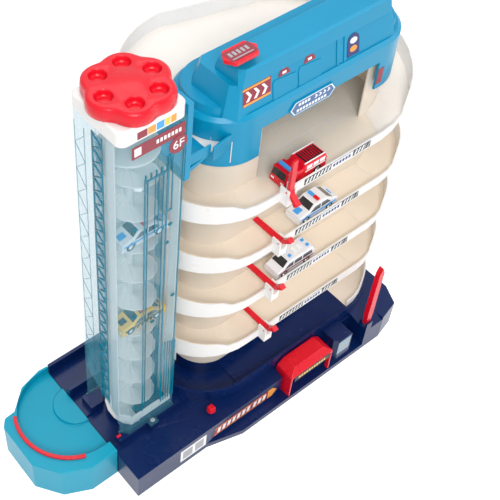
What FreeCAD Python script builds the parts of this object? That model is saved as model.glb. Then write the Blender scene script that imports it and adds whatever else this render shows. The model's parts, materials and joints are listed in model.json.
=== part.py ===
import FreeCAD, Part
import math
import os
import Sketcher
from FreeCAD import Placement, Rotation, Vector

# Toy parking garage with a screw lift. Millimetres, Z up, X along the length, the play side faces -Y.
doc = FreeCAD.newDocument("ParkingGarage")
sheet = doc.addObject("Spreadsheet::Sheet", "Sizes")

SIZES = [
    ("wall", 2.2), ("gap", 0.3), ("pin_gap", 0.1), ("bore_gap", 0.05),
    # parking decks
    ("storey", 93), ("level_two", 169), ("turn_left", -4), ("turn_right", 213), ("turn_depth", -16.5),
    ("deck_radius", 95), ("core_radius", 49), ("floor_thick", 3), ("rim_low", 11), ("rim_step", 19),
    ("rim_high", 26), ("loop_radius", 131.5), ("loop_left", 33), ("loop_right", 194), ("loop_depth", 20),
    ("loop_rim", 22), ("bay_left", 19), ("bay_right", 200), ("platform_front", -66),
    # lift tower
    ("tower_across", -153), ("tower_depth", -31.5), ("shell_width", 88), ("shell_wall", 2),
    ("shell_foot", 61), ("shell_head", 628), ("corner_cut", 12), ("flange", 2), ("cap_width", 90),
    ("cap_height", 20), ("knob_height", 17.7), ("knob_body", 47), ("lobe_radius", 18), ("lobe_reach", 34),
    ("dimple_radius", 10.5), ("dimple_reach", 33.5), ("shaft_radius", 4.4), ("flight_radius", 36),
    ("hub_radius", 6), ("screw_pitch", 55), ("flight_thick", 2), ("flight_foot", 48), ("flight_drop", 58),
    ("flight_lengths", 4), ("shaft_flat", 3.6), ("plate_drop", 52), ("plate_thick", 3),
    ("slot_left", -159), ("slot_right", -146.5), ("slot_foot", 112), ("slot_drop", 60),
    ("vent_left", -134), ("vent_right", -125.5), ("vent_drop", 43),
    ("guide_wall", 1.5), ("guide_foot", 93),
    # bridge from the lift to the top deck
    ("bridge_frame", 7.7), ("bridge_drop", 16), ("bridge_rise", 11), ("bridge_front", -74),
    ("bridge_back", -6), ("door_front", -66), ("door_back", -14), ("door_drop", 24),
    ("chute_wall", 12),
    # top building
    ("skin", 3), ("eave_radius", 59.5), ("leg_drop", 41), ("arch_rise", 3), ("beam_rise", 27),
    ("ledge_rise", 14), ("ledge_step", 4.5), ("shop_height", 30), ("roof_height", 18), ("arch_left", 7),
    ("arch_right", 204), ("roof_left", -22), ("roof_right", 222), ("roof_front", -63), ("roof_back", -20),
    ("shop_splay", 19), ("sign_left", -34), ("sign_right", 14), ("sign_front", -58), ("sign_back", -32),
    ("sign_rise", 9), ("sign_thick", 5), ("sign_border", 4), ("post_width", 4),
    # gates
    ("gate_across", 22), ("gate_width", 8), ("gate_thick", 5), ("gate_reach", 50), ("gate_tail", 15),
    ("gate_pivot", -120), ("gate_rise", 19), ("pin_radius", 1.5), ("ear", 2.5), ("bracket_front", -124),
    # base
    ("base_left", -217), ("base_right", 313), ("base_front", -136), ("base_back", 88), ("deck_top", 49),
    ("base_wall", 2.5), ("corner_left", 258), ("corner_right", 298), ("corner_front", -142), ("lip_left", -89),
    ("lip_bend", -31), ("side_back", -110), ("boss_width", 15), ("boss_reach", 6),
    ("tray_front", -151.5), ("tray_top", 10), ("plinth_left", -206), ("plinth_right", -59),
    ("plinth_front", -79), ("well_floor", 45), ("lane_wall", 76), ("lane_low", 52), ("rim_wall", 3.7),
    ("yard_back", -117), ("yard_left", 60), ("block_left", 222), ("block_low", 45), ("block_high", 65),
    ("bend_across", -116), ("bend_depth", 15.5), ("bend_inner", 22.5), ("bend_outer", 67.5),
    ("bend_wall", 68), ("booth_left", 160), ("booth_right", 193), ("booth_front", -148),
    ("booth_top", 62), ("well_front", -67), ("well_back", -10),
    # turning pan
    ("pan_across", -230), ("pan_depth", 8.5), ("pan_inner", 78), ("pan_floor", 48),
    ("pan_top", 63), ("pan_left", -325.5), ("island_radius", 33), ("island_depth", 15.5),
    ("pan_round", 6), ("notch_left", -316), ("notch_right", -299), ("notch_back", 52),
    ("bumper_inner", 79.2), ("bumper_outer", 84.5), ("bumper_height", 4),
    # yard pieces
    ("canopy_left", 62), ("canopy_right", 148), ("canopy_front", -150.5), ("canopy_eave", 58),
    ("canopy_top", 68), ("barrier_across", 228), ("barrier_length", 135), ("barrier_thick", 8.5),
    ("barrier_depth", -143.9), ("barrier_pivot", 58), ("button_across", -66), ("button_depth", -114.5),
    ("button_radius", 6.5), ("button_rise", 7), ("button_travel", 3), ("stem_radius", 3),
    ("peg_radius", 2), ("screw_radius", 3.6), ("screw_across", -148.6), ("screw_depth", -80.5),
    # toy cars
    ("car_length", 70), ("car_width", 26), ("car_height", 26), ("wheel_radius", 6), ("wheel_width", 3.2),
    ("axle_radius", 1.2), ("axle_reach", 21), ("car_clear", 3.5),
    ("truck_nose", 28), ("sedan_nose", 68), ("van_nose", 43), ("lane_line", -92), ("lift_line", -51),
    ("upper_cell", 444), ("cell_turn", 190), ("body_edge", 1.5), ("road_gap", 0.2),
]
for row, (alias, value) in enumerate(SIZES, 1):
    sheet.set("A%d" % row, alias)
    sheet.set("B%d" % row, repr(value))
    sheet.setAlias("B%d" % row, alias)
doc.recompute()


class Dim:
    # A size that keeps both its number and the sheet expression that it comes from.
    def __init__(self, value, text):
        self.value, self.text = float(value), text

    def _with(self, other, sign, turned=False):
        other = as_dim(other)
        a, b = (other, self) if turned else (self, other)
        value = {"+": lambda: a.value + b.value, "-": lambda: a.value - b.value,
                 "*": lambda: a.value * b.value, "/": lambda: a.value / b.value}[sign]()
        return Dim(value, "(%s %s %s)" % (a.text, sign, b.text))

    def __add__(self, other): return self._with(other, "+")
    def __radd__(self, other): return self._with(other, "+", True)
    def __sub__(self, other): return self._with(other, "-")
    def __rsub__(self, other): return self._with(other, "-", True)
    def __mul__(self, other): return self._with(other, "*")
    def __rmul__(self, other): return self._with(other, "*", True)
    def __truediv__(self, other): return self._with(other, "/")
    def __neg__(self): return self._with(-1, "*")
    def __float__(self): return self.value


def as_dim(value):
    return value if isinstance(value, Dim) else Dim(value, "(%r)" % float(value))


class Names:
    pass


S = Names()
for alias, value in SIZES:
    setattr(S, alias, Dim(value, "Sizes.%s" % alias))

# Levels that follow from the sizes above, so the tower and the building keep together.
S.top_level = S.level_two + S.storey * 4
S.slot_head = S.shell_head - S.slot_drop
S.vent_head = S.shell_head - S.vent_drop
S.door_head = S.shell_head - S.door_drop
S.flight_head = S.shell_head - S.flight_drop
S.plate_level = S.shell_head - S.plate_drop
S.bridge_head = S.shell_head + S.bridge_rise
S.bridge_foot = S.top_level - S.bridge_drop
S.chute_end = S.turn_left - S.eave_radius - S.gap * 2
S.leg_foot = S.top_level - S.leg_drop
S.beam_foot = S.top_level + S.arch_rise
S.beam_head = S.top_level + S.beam_rise
S.shop_foot = S.beam_head + S.ledge_rise
S.shop_head = S.shop_foot + S.shop_height
S.roof_head = S.shop_head + S.roof_height
S.tower_back = S.tower_depth + S.shell_width / 2 + S.flange + S.gap


def bind(thing, path, size):
    thing.setExpression(path, as_dim(size).text)


# Outlines for sketches: lists of closed loops, each a list of corners (across, up, arc radius to the next).
def rect(left, right, low, high):
    return [[(left, low), (right, low), (right, high), (left, high)]]


def poly(*corners):
    return [list(corners)]


def disc(across, up, radius):
    return [("disc", across, up, radius)]


def stadium(left, right, depth, radius):
    return [[(left, depth - radius), (right, depth - radius, radius),
             (right, depth + radius), (left, depth + radius, radius)]]


TURNS = {"XY_Plane": 1, "XZ_Plane": -1, "YZ_Plane": 1}


class Piece:
    # One moulded piece, built up from padded and pocketed outlines on its own origin planes.
    def __init__(self, name, place=None):
        self.body = doc.addObject("PartDesign::Body", name)
        self.body.Label = name
        self.count = 0
        self.volume = 0.0
        if place:
            for axis, size in zip("xyz", place):
                bind(self.body, "Placement.Base.%s" % axis, size)

    def sketch(self, plane, level, loops):
        self.count += 1
        sk = self.body.newObject("Sketcher::SketchObject", "%s_outline_%d" % (self.body.Name, self.count))
        support = [f for f in self.body.Origin.OriginFeatures if f.Role == plane][0]
        sk.AttachmentSupport = [(support, "")]
        sk.MapMode = "FlatFace"
        bind(sk, "AttachmentOffset.Base.z", as_dim(level) * TURNS[plane])
        for loop in loops:
            if loop[0] == "disc":
                _, across, up, radius = loop
                i = sk.addGeometry(Part.Circle(Vector(float(across), float(up), 0), Vector(0, 0, 1),
                                               float(radius)))
                self.fix(sk, i, 3, across, up)
                self.limit(sk, i, radius)
                continue
            first = None
            corners = [(c[0], c[1], c[2] if len(c) > 2 else None) for c in loop]
            for k, (across, up, arc) in enumerate(corners):
                nxt = corners[(k + 1) % len(corners)]
                a = Vector(float(across), float(up), 0)
                b = Vector(float(nxt[0]), float(nxt[1]), 0)
                if arc is None:
                    i = sk.addGeometry(Part.LineSegment(a, b))
                else:
                    i = sk.addGeometry(Part.Arc(a, bulge(a, b, float(arc)), b))
                turned = arc is not None and float(arc) < 0
                start, end = (2, 1) if turned else (1, 2)
                self.fix(sk, i, start, across, up)
                if first is None:
                    first = (i, start)
                else:
                    sk.addConstraint(Sketcher.Constraint("Coincident", last[0], last[1], i, start))
                last = (i, end)
                if arc is not None and abs((b - a).Length / 2 - abs(float(arc))) < 1e-6:
                    # A half circle on an upright chord: its centre lies on the chord.
                    self.fix(sk, i, 3, across, up, ("DistanceX",))
                elif arc is not None:
                    self.limit(sk, i, as_dim(arc) * (-1 if turned else 1))
            sk.addConstraint(Sketcher.Constraint("Coincident", last[0], last[1], first[0], first[1]))
        return sk

    def fix(self, sk, i, point, across, up, kinds=("DistanceX", "DistanceY")):
        for kind, size in (("DistanceX", across), ("DistanceY", up)):
            if kind not in kinds:
                continue
            c = sk.addConstraint(Sketcher.Constraint(kind, -1, 1, i, point, float(size)))
            if isinstance(size, Dim):
                sk.setExpression("Constraints[%d]" % c, size.text)

    def limit(self, sk, i, radius):
        c = sk.addConstraint(Sketcher.Constraint("Radius", i, float(radius)))
        if isinstance(radius, Dim):
            sk.setExpression("Constraints[%d]" % c, radius.text)

    def pad(self, loops, low, high, plane="XY_Plane", taper=0):
        start = high if plane == "XZ_Plane" else low
        f = self.body.newObject("PartDesign::Pad", "%s_pad_%d" % (self.body.Name, self.count + 1))
        f.Profile = self.sketch(plane, start, loops)
        bind(f, "Length", as_dim(high) - low)
        if taper:
            f.TaperAngle = taper
        return self.done(f, 1)

    def cut(self, loops, low, high, plane="XY_Plane"):
        start = low if plane == "XZ_Plane" else high
        f = self.body.newObject("PartDesign::Pocket", "%s_cut_%d" % (self.body.Name, self.count + 1))
        f.Profile = self.sketch(plane, start, loops)
        bind(f, "Length", as_dim(high) - low)
        return self.done(f, -1)

    def done(self, f, way):
        self.body.Tip = f
        doc.recompute()
        volume = f.Shape.Volume
        if not f.Shape.isValid() or (volume - self.volume) * way <= 0:
            raise RuntimeError("%s added nothing (%.1f to %.1f)" % (f.Name, self.volume, volume))
        self.volume = volume
        return f

    def ring(self, features, count):
        f = self.body.newObject("PartDesign::PolarPattern", "%s_ring_%d" % (self.body.Name, self.count))
        f.Originals = features
        axis = [x for x in self.body.Origin.OriginFeatures if x.Role == "Z_Axis"][0]
        f.Axis = (axis, [""])
        f.Angle = 360
        f.Occurrences = count
        self.body.Tip = f
        doc.recompute()
        self.volume = f.Shape.Volume
        return f

    def edges(self, kind, path, size, pick):
        base = self.body.Tip
        names = ["Edge%d" % (k + 1) for k, e in enumerate(base.Shape.Edges) if pick(e)]
        f = self.body.newObject("PartDesign::%s" % kind, "%s_edge_%d" % (self.body.Name, self.count))
        f.Base = (base, names)
        bind(f, path, size)
        self.body.Tip = f
        doc.recompute()
        self.volume = f.Shape.Volume
        return f

    def round(self, radius, pick):
        return self.edges("Fillet", "Radius", radius, pick)

    def bevel(self, size, pick):
        return self.edges("Chamfer", "Size", size, pick)


def bulge(a, b, radius):
    # Middle point of the shorter arc from a to b, to the right of the chord for a positive radius.
    chord = b - a
    half = chord.Length / 2
    side = Vector(chord.y, -chord.x, 0).normalize() * (1 if radius > 0 else -1)
    sag = abs(radius) - math.sqrt(max(radius * radius - half * half, 0))
    return a + chord * 0.5 + side * sag


def upright(e):
    d = e.lastVertex().Point - e.firstVertex().Point if len(e.Vertexes) > 1 else Vector(1, 0, 0)
    return abs(d.x) < 1e-6 and abs(d.y) < 1e-6 and d.Length > 1e-6


def at_height(level):
    def pick(e):
        return all(abs(v.Z - float(level)) < 1e-4 for v in e.Vertexes)
    return pick


def feature(name, shape, place=(0, 0, 0)):
    f = doc.addObject("Part::Feature", name)
    f.Label = name
    f.Shape = shape
    for axis, size in zip("xyz", place):
        bind(f, "Placement.Base.%s" % axis, size)
    return f


N = {name: float(size) for name, size in vars(S).items()}
far = 3 * (N["turn_right"] - N["turn_left"] + N["loop_radius"])


# ---- parking decks: one lap of the ramp moulded round one storey of the core ----
def l_section(inner, outer, floor, rim):
    # Floor and outer wall in the upright plane from the point inner to the point outer.
    across = (outer - inner).normalize()
    up = Vector(0, 0, 1)
    face = outer - across * N["wall"]
    low = floor - N["floor_thick"]
    return [inner + up * floor, face + up * floor, face + up * rim, outer + up * rim,
            outer + up * low, inner + up * low]


def turn_point(centre_x, centre_y, radius, degrees):
    # Degrees run clockwise seen from above, starting at the front.
    a = math.radians(degrees)
    return Vector(centre_x - radius * math.sin(a), centre_y - radius * math.cos(a), 0)


STEP = 10  # degrees between the sections of a turning ramp


def face_of(corners):
    return Part.Face(Part.makePolygon(list(corners) + [corners[0]]))


def swept(sections):
    # A solid along flat-sided sections; a twisted side is folded once between two sections.
    count, faces = len(sections[0]), [face_of(sections[0]), face_of(sections[-1])]
    for near, next_one in zip(sections, sections[1:]):
        for k in range(count):
            a, b, c, d = near[k], near[(k + 1) % count], next_one[(k + 1) % count], next_one[k]
            normal = (b - a).cross(d - a)
            if abs(normal.dot(c - a)) < 1e-6 * max(normal.Length, 1e-9):
                faces.append(face_of([a, b, c, d]))
            else:
                faces += [face_of([a, b, c]), face_of([a, c, d])]
    solid = Part.makeSolid(Part.makeShell(faces))
    if solid.Volume < 0:
        solid.reverse()
    return solid


def run(sections):
    return swept([l_section(*s) for s in sections])


def lap(top, corner):
    # The ramp of one storey: level front lane from the outer corner given, left turn, back lane, right turn.
    left, right, depth = N["turn_left"], N["turn_right"], N["turn_depth"]
    inside, outside = N["core_radius"] - N["wall"] / 2, N["deck_radius"]
    middle = (N["core_radius"] + outside) / 2
    length = 2 * math.pi * middle + right - left
    drop = N["storey"] / length

    def station(centre, degrees, done, rim):
        floor = top - drop * done
        return (turn_point(centre, depth, inside, degrees), turn_point(centre, depth, outside, degrees),
                floor, rim if rim is not None else floor + N["rim_high"])

    arc = math.radians(1) * middle
    front_rim, back = top + N["rim_low"], right - left
    first = station(right, 0, 0, front_rim)
    stations = [(first[0], Vector(corner, first[1].y, 0)) + first[2:]]
    for d in range(0, 181, STEP):
        done = d * arc
        low_edge = top - drop * done + N["rim_high"] - 4
        stations.append(station(left, d, done, front_rim if d <= 20 else max(top + N["rim_step"], low_edge)))
    for d in range(180, 361, STEP):
        done = 180 * arc + back + (d - 180) * arc
        stations.append(station(right, d, done, top - N["storey"] + N["rim_low"] if d >= 340 else None))
    return run(stations)


def stadium_block(radius, low, high):
    left, right, depth = N["turn_left"], N["turn_right"], N["turn_depth"]
    a = Part.makeCylinder(radius, high - low, Vector(left, depth, low))
    b = Part.makeCylinder(radius, high - low, Vector(right, depth, low))
    c = Part.makeBox(right - left, 2 * radius, high - low, Vector(left, depth - radius, low))
    return a.fuse([b, c]).removeSplitter()


def core_tube(low, high):
    return stadium_block(N["core_radius"], low, high).cut(stadium_block(N["core_radius"] - N["wall"], low, high))


def bracket(top):
    # The block on the front rim with the two ears that carry the gate's pin.
    x0 = N["gate_across"] - N["gate_width"] / 2 - N["gap"] - N["ear"]
    x1 = N["gate_across"] + N["gate_width"] / 2 + N["gap"] + N["ear"]
    back = N["turn_depth"] - N["deck_radius"] + N["wall"]
    front, rim = N["bracket_front"], top + N["rim_low"]
    block = Part.makeBox(x1 - x0, back - front, N["rim_low"] - 2 + N["floor_thick"],
                         Vector(x0, front, top - N["floor_thick"]))
    ears = []
    for x in (x0, x1 - N["ear"]):
        ear = Part.makeBox(N["ear"], back - front, N["gate_rise"] - N["rim_low"] + 2 + N["pin_radius"] + 2,
                           Vector(x, front, rim - 2))
        ears.append(ear)
    bore = Part.makeCylinder(N["pin_radius"] + N["pin_gap"], x1 - x0 + 2,
                             Vector(x0 - 1, N["gate_pivot"], top + N["gate_rise"]), Vector(1, 0, 0))
    return block.fuse(ears).cut(bore)


for number in (5, 4, 3, 2):
    top = N["level_two"] + (number - 2) * N["storey"]
    ramp = lap(top, N["loop_right"] if number == 5 else N["turn_right"])
    tube = core_tube(top - N["storey"], top)
    shape = tube.fuse([ramp, bracket(top)])
    if number == 5:
        # The bay inside the arch has a closed floor.
        shape = shape.fuse(stadium_block(N["core_radius"] - N["wall"] / 2, top - N["floor_thick"], top))
    # The ramp's foot stands against the storey below, not in it.
    shape = shape.cut(stadium_block(N["core_radius"], top - N["storey"] - 12, top - N["storey"]))
    feature("deck_%df" % number, shape.removeSplitter())

# ---- top deck: wide platform, then the large right turn down to the fifth floor ----
top_level = N["top_level"]
depth, loop_y, loop_r = N["turn_depth"], N["loop_depth"], N["loop_radius"]
back_inner = depth + N["core_radius"]
start_x, end_x, right_x = N["loop_left"], N["loop_right"], N["turn_right"]
mean = (N["core_radius"] + loop_r) / 2
fall = N["storey"] / (end_x - start_x + math.pi * mean)


def loop_station(degrees, x=None):
    if x is not None:
        return (Vector(x, back_inner - N["wall"] / 2, 0), Vector(x, loop_y + loop_r, 0),
                top_level - fall * (x - start_x), top_level - fall * (x - start_x) + N["loop_rim"])
    a = math.radians(degrees)
    share = degrees / 180.0
    seat = N["core_radius"] - N["wall"] / 2
    inner = Vector(right_x + seat * math.sin(a), depth + seat * math.cos(a), 0)
    outer = Vector(end_x + loop_r * math.sin(a), loop_y + loop_r * math.cos(a), 0)
    if degrees == 180:
        outer = Vector(end_x, depth - N["deck_radius"], 0)
    floor = top_level - fall * (end_x - start_x) - share * (N["storey"] - fall * (end_x - start_x))
    rim = floor + N["loop_rim"] + 6 * min(share * 3, 1)
    return inner, outer, floor, rim


low_rim = top_level - N["storey"] + N["rim_low"]
stations = [loop_station(0, start_x), loop_station(0, end_x)]
for d in range(STEP, 181, STEP):
    stations.append(loop_station(d) if d < 160 else loop_station(d)[:3] + (low_rim,))
lanes = [run(stations)]


def slab(radius, low, high):
    return Part.makeCylinder(radius, high - low, Vector(start_x, loop_y, low))


thick = N["floor_thick"]
half_plane = Part.makeBox(loop_r + 1, 2 * loop_r + 2, far, Vector(start_x - loop_r - 1, loop_y - loop_r - 1,
                                                                 top_level - far / 2))
platform = slab(loop_r, top_level - thick, top_level).common(half_plane)
kerb = slab(loop_r, top_level - thick, top_level + N["loop_rim"]).cut(
    slab(loop_r - N["wall"], top_level - thick, top_level + N["loop_rim"])).common(half_plane)
too_far = Part.makeBox(far, far, far, Vector(start_x - far / 2, N["platform_front"] - far, top_level - far / 2))
door_gap = Part.makeBox(far, N["door_back"] - N["door_front"] + 2 * N["wall"] + 2 * N["gap"], far,
                        Vector(N["chute_end"] + N["gap"] - far, N["door_front"] - N["wall"] - N["gap"],
                               top_level - far / 2))
core_fit = stadium_block(N["core_radius"] - 1, top_level - 100, top_level + 100)
deck = platform.fuse(kerb).cut(door_gap).cut(too_far)
deck = deck.cut(core_fit)
deck = deck.fuse(lanes)
tube = core_tube(top_level - N["storey"], top_level - thick / 2)
opening = Part.makeBox(N["bay_right"] - N["bay_left"], 60, N["storey"] + 10,
                       Vector(N["bay_left"], depth - N["core_radius"] - 30, top_level - N["storey"] - 5))
deck = deck.fuse(tube.cut(opening))
legs = stadium_block(N["eave_radius"] + N["gap"], N["leg_foot"] - N["gap"], top_level + N["loop_rim"] + 30)
leg_back = depth - 3.8
front_half = Part.makeBox(2 * far, far, far, Vector(-far, leg_back - far + N["gap"], N["leg_foot"] - N["gap"]))
over_deck = stadium_block(N["eave_radius"] + N["gap"], top_level + N["gap"], top_level + N["loop_rim"] + 30)
inner_fit = stadium_block(N["eave_radius"] - N["skin"] - N["gap"], N["leg_foot"] - 1, top_level + 40)
deck = deck.cut(legs.common(front_half).cut(inner_fit)).cut(over_deck)
deck = deck.cut(stadium_block(N["core_radius"], top_level - N["storey"] - 12, top_level - N["storey"]))
solids = sorted(deck.Solids, key=lambda s: s.Volume)
feature("deck_6f", solids[-1].removeSplitter())

# ---- top building: two legs, a beam with an arch, a bevelled ledge, the shop front and the roof ----
eave, skin = N["eave_radius"], N["skin"]
level = top_level + N["gap"]
legs = stadium_block(eave, N["leg_foot"], level).cut(stadium_block(eave - skin, N["leg_foot"], level))
legs = legs.common(Part.makeBox(2 * far, far, far, Vector(-far, leg_back - far, N["leg_foot"])))
beam = stadium_block(eave, level, N["beam_head"]).cut(stadium_block(eave - skin, level, N["beam_head"] - skin))


def rounded(radius, level):
    left, right = N["turn_left"], N["turn_right"]
    a, b = Vector(left, depth - radius, level), Vector(right, depth - radius, level)
    c, d = Vector(right, depth + radius, level), Vector(left, depth + radius, level)
    return Part.Wire([Part.LineSegment(a, b).toShape(),
                      Part.Arc(b, Vector(right + radius, depth, level), c).toShape(),
                      Part.LineSegment(c, d).toShape(),
                      Part.Arc(d, Vector(left - radius, depth, level), a).toShape()])


step_in = N["ledge_step"]
ledge = Part.makeLoft([rounded(eave, N["beam_head"]), rounded(eave - step_in, N["beam_head"] + step_in)], True)
ledge = ledge.fuse(Part.makeLoft([rounded(eave - step_in - 3.5, N["beam_head"] + step_in),
                                  rounded(eave - step_in - 5.5, N["shop_foot"])], True))


def chamfered(left, right, front, back, corner, level):
    pts = [(left + corner, front), (right - corner, front), (right, front + corner), (right, back - corner),
           (right - corner, back), (left + corner, back), (left, back - corner), (left, front + corner)]
    pts = [Vector(x, y, level) for x, y in pts]
    return Part.makePolygon(pts + [pts[0]])




def leaning(inset):
    # The shop front with its leaning walls and the stepped roof, drawn in by the inset for the hollow.
    splay, left, right = N["shop_splay"] - inset, N["roof_left"], N["roof_right"]
    front, back, tuck = N["roof_front"], N["roof_back"], inset * 0.6
    shop = Part.makeLoft([chamfered(left - splay, right + splay, front - 7 + inset, back + 34 - inset, 12 - tuck,
                                    N["beam_head"] + 2 - inset),
                          chamfered(left - 8 + inset, right + 8 - inset, front + 1 + inset, back + 26 - inset,
                                    9 - tuck, N["shop_head"] - inset)], True, True)
    roof = Part.makeLoft([chamfered(left - 2 + inset, right + 2 - inset, front - 2 + inset, back + 4 - inset,
                                    4 - tuck, N["shop_head"] - 4 - inset),
                          chamfered(left + inset, right - inset, front + inset, back - inset, 6 - tuck,
                                    N["roof_head"] - 3 - inset),
                          chamfered(left + 3 + inset, right - 3 - inset, front + 3 + inset, back - 3 - inset,
                                    6 - tuck, N["roof_head"] - inset)], True, True)
    return shop, roof


shop, roof = leaning(0)
hollow_shop, hollow_roof = leaning(skin)
shaft_up = Part.makeBox(N["roof_right"] - N["roof_left"] - 4 * skin, N["roof_back"] - N["roof_front"] - 4 * skin,
                        N["shop_head"] - N["beam_head"] + 2 * skin,
                        Vector(N["roof_left"] + 2 * skin, N["roof_front"] + 2 * skin, N["beam_head"] - 2 * skin))
building = legs.fuse([beam, ledge, shop, roof]).cut(hollow_shop.fuse([hollow_roof, shaft_up]))
arch = Part.makeBox(N["arch_right"] - N["arch_left"], 60, N["beam_foot"] - N["leg_foot"] + 1,
                    Vector(N["arch_left"], depth - eave - 5, N["leg_foot"] - 1))
feature("top_building", building.cut(arch).removeSplitter())

# ---- lift screw: a shaft with a flat and a round top plate, and the left-hand flight in stacked lengths ----
def shaft_block(ease, low, high):
    rod = Part.makeCylinder(N["shaft_radius"] + ease, high - low, Vector(0, 0, low))
    flat = N["shaft_flat"] + ease
    return rod.cut(Part.makeBox(far, 2 * far, high - low, Vector(flat, -far, low)))


def flight_section(level):
    # Across the flight: at the far end of the lift cell it stands at the cell's level.
    turn = math.radians(N["cell_turn"] + (N["upper_cell"] - level) / N["screw_pitch"] * 360.0)
    way = Vector(math.cos(turn), math.sin(turn), 0)
    return [way * r + Vector(0, 0, level - drop) for r, drop in (
        (N["hub_radius"] - 0.6, N["flight_thick"]), (N["flight_radius"], N["flight_thick"]),
        (N["flight_radius"], 0), (N["hub_radius"] - 0.6, 0))]


shaft_foot = N["well_floor"] + N["gap"]
shaft_head = N["shell_head"] + N["cap_height"] + N["gap"]
shaft = shaft_block(0, shaft_foot, N["flight_head"])
shaft = shaft.fuse([Part.makeCylinder(N["shaft_radius"], shaft_head - N["flight_head"], Vector(0, 0, N["flight_head"])),
                    Part.makeCylinder(N["hub_radius"], N["plate_level"] - N["flight_head"],
                                      Vector(0, 0, N["flight_head"])),
                    Part.makeCylinder(N["flight_radius"], N["plate_thick"], Vector(0, 0, N["plate_level"]))])
feature("screw_shaft", shaft.removeSplitter(), (S.tower_across, S.tower_depth, 0))
lengths = int(N["flight_lengths"])
rise = (N["flight_head"] - N["flight_foot"]) / lengths
for k in range(lengths):
    low, high = N["flight_foot"] + k * rise, N["flight_foot"] + (k + 1) * rise
    steps = int(math.ceil(rise / N["screw_pitch"] * 16))
    flight = swept([flight_section(low + rise * i / steps) for i in range(steps + 1)])
    foot = shaft_foot if k == 0 else low
    hub = Part.makeCylinder(N["hub_radius"], high - foot, Vector(0, 0, foot))
    if k:
        flight = flight.cut(Part.makeCylinder(N["hub_radius"], 4, Vector(0, 0, low - 4)))
    flight = flight.fuse(hub).cut(shaft_block(N["bore_gap"], shaft_foot - 1, N["flight_head"] + 1))
    feature("screw_flight_%d" % (k + 1), flight.removeSplitter(), (S.tower_across, S.tower_depth, 0))

# ---- tower: cap, knob, clear shell in two halves and the white corner guide ----
cx, cy = S.tower_across, S.tower_depth
half = S.cap_width / 2
cap = Piece("lift_cap", (cx, cy, 0))
cap.pad(rect(-half, half, -half, half), S.shell_head, S.shell_head + S.cap_height)
cap.round(as_dim(10), upright)
cap.bevel(as_dim(2.5), at_height(S.shell_head + S.cap_height))
hollow = half - 3.6
cap.cut(rect(-hollow, hollow, -hollow, hollow), S.shell_head, S.shell_head + S.cap_height - 3)
cap.cut(disc(0, 0, S.shaft_radius + S.gap), S.shell_head, S.shell_head + S.cap_height)

knob_foot = S.shell_head + S.cap_height + S.gap
knob = Piece("lift_knob", (cx, cy, 0))
knob.body.Placement = Placement(knob.body.Placement.Base, Rotation(Vector(0, 0, 1), 4.5))
knob_mid = knob_foot + S.knob_height * 0.45
knob_top = knob_foot + S.knob_height
knob.pad(disc(0, 0, S.knob_body), knob_foot, knob_top)
lobe_low = knob.pad(disc(S.lobe_reach, 0, S.lobe_radius), knob_foot, knob_mid)
knob.ring([lobe_low], 6)
lobe_high = knob.pad(disc(S.lobe_reach, 0, S.lobe_radius - 2), knob_mid, knob_top)
knob.ring([lobe_high], 6)
dimple = knob.cut(disc(S.dimple_reach, 0, S.dimple_radius), knob_top - 3.5, knob_top)
knob.ring([dimple], 6)

inner_half = S.shell_width / 2 - S.shell_wall
outer_half = S.shell_width / 2


def shell_outline(size, corner):
    return poly((-size + corner, -size), (size, -size), (size, size), (-size, size), (-size, -size + corner))


def make_shell(name, front):
    shell = Piece(name, (cx, cy, 0))
    brim = outer_half + S.flange
    shell.pad(shell_outline(outer_half, S.corner_cut), S.shell_foot, S.shell_head)
    shell.pad(shell_outline(brim, S.corner_cut), S.shell_foot, S.shell_foot + S.flange)
    if front:
        ear = S.screw_across - cx
        shell.pad(rect(ear - S.boss_width / 2, ear + S.boss_width / 2, S.screw_depth - S.boss_reach - cy,
                       -outer_half - 1), S.shell_foot, S.shell_foot + S.flange)
    shell.cut(shell_outline(inner_half, S.corner_cut - 1), S.shell_foot, S.shell_head)
    # The cars drive in under the sloping lower edge on the left.
    left = -brim - 1
    shell.cut(poly((-33, S.shell_foot - 1), (inner_half + 1, S.shell_foot - 1), (inner_half + 1, S.shell_foot + 82),
                   (-26.5, S.shell_foot + 29), (-33, S.shell_foot + 19)), left, left + 8, "YZ_Plane")
    # Doorway to the bridge on the right.
    door_low, door_high = S.door_front - cy, S.door_back - cy
    shell.cut(rect(door_low, door_high, S.top_level - S.floor_thick, S.door_head), inner_half - 1, brim + 1,
              "YZ_Plane")
    if front:
        shell.cut(rect(-brim - 2, brim + 2, 0, brim + 2), S.shell_foot - 1, S.shell_head + 1)
        shell.cut(rect(S.slot_left - cx, S.slot_right - cx, S.slot_foot, S.slot_head),
                  -outer_half - 1, -inner_half + 1, "XZ_Plane")
        shell.cut(rect(S.vent_left - cx, S.vent_right - cx, S.slot_foot, S.vent_head),
                  -outer_half - 1, -inner_half + 1, "XZ_Plane")
    else:
        shell.cut(rect(-brim - 2, brim + 2, -brim - 9, 0), S.shell_foot - 1, S.shell_head + 1)
    return shell


make_shell("shell_front", True)
make_shell("shell_back", False)

guide = Piece("guide_liner", (cx, cy, 0))
g_out = inner_half - S.gap
g_in = g_out - S.guide_wall
bridge_floor = S.top_level - S.floor_thick
guide.pad(rect(-g_out + S.corner_cut, g_out, -g_out, -g_in), S.guide_foot - 17, S.guide_foot)
guide.pad(rect(g_in, g_out, -g_out, -14), S.guide_foot - 17, bridge_floor - 8)
guide.pad(rect(-g_out, -g_in, -g_out + S.corner_cut, -14), S.guide_foot, S.shell_head - 6)
guide.pad(poly((-g_out, -g_out + S.corner_cut), (-g_out + S.corner_cut, -g_out),
               (-g_out + S.corner_cut + 1.5, -g_out + 0.6), (-g_out + 0.6, -g_out + S.corner_cut + 1.5)),
          S.guide_foot - 8, S.guide_foot + 6)

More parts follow.
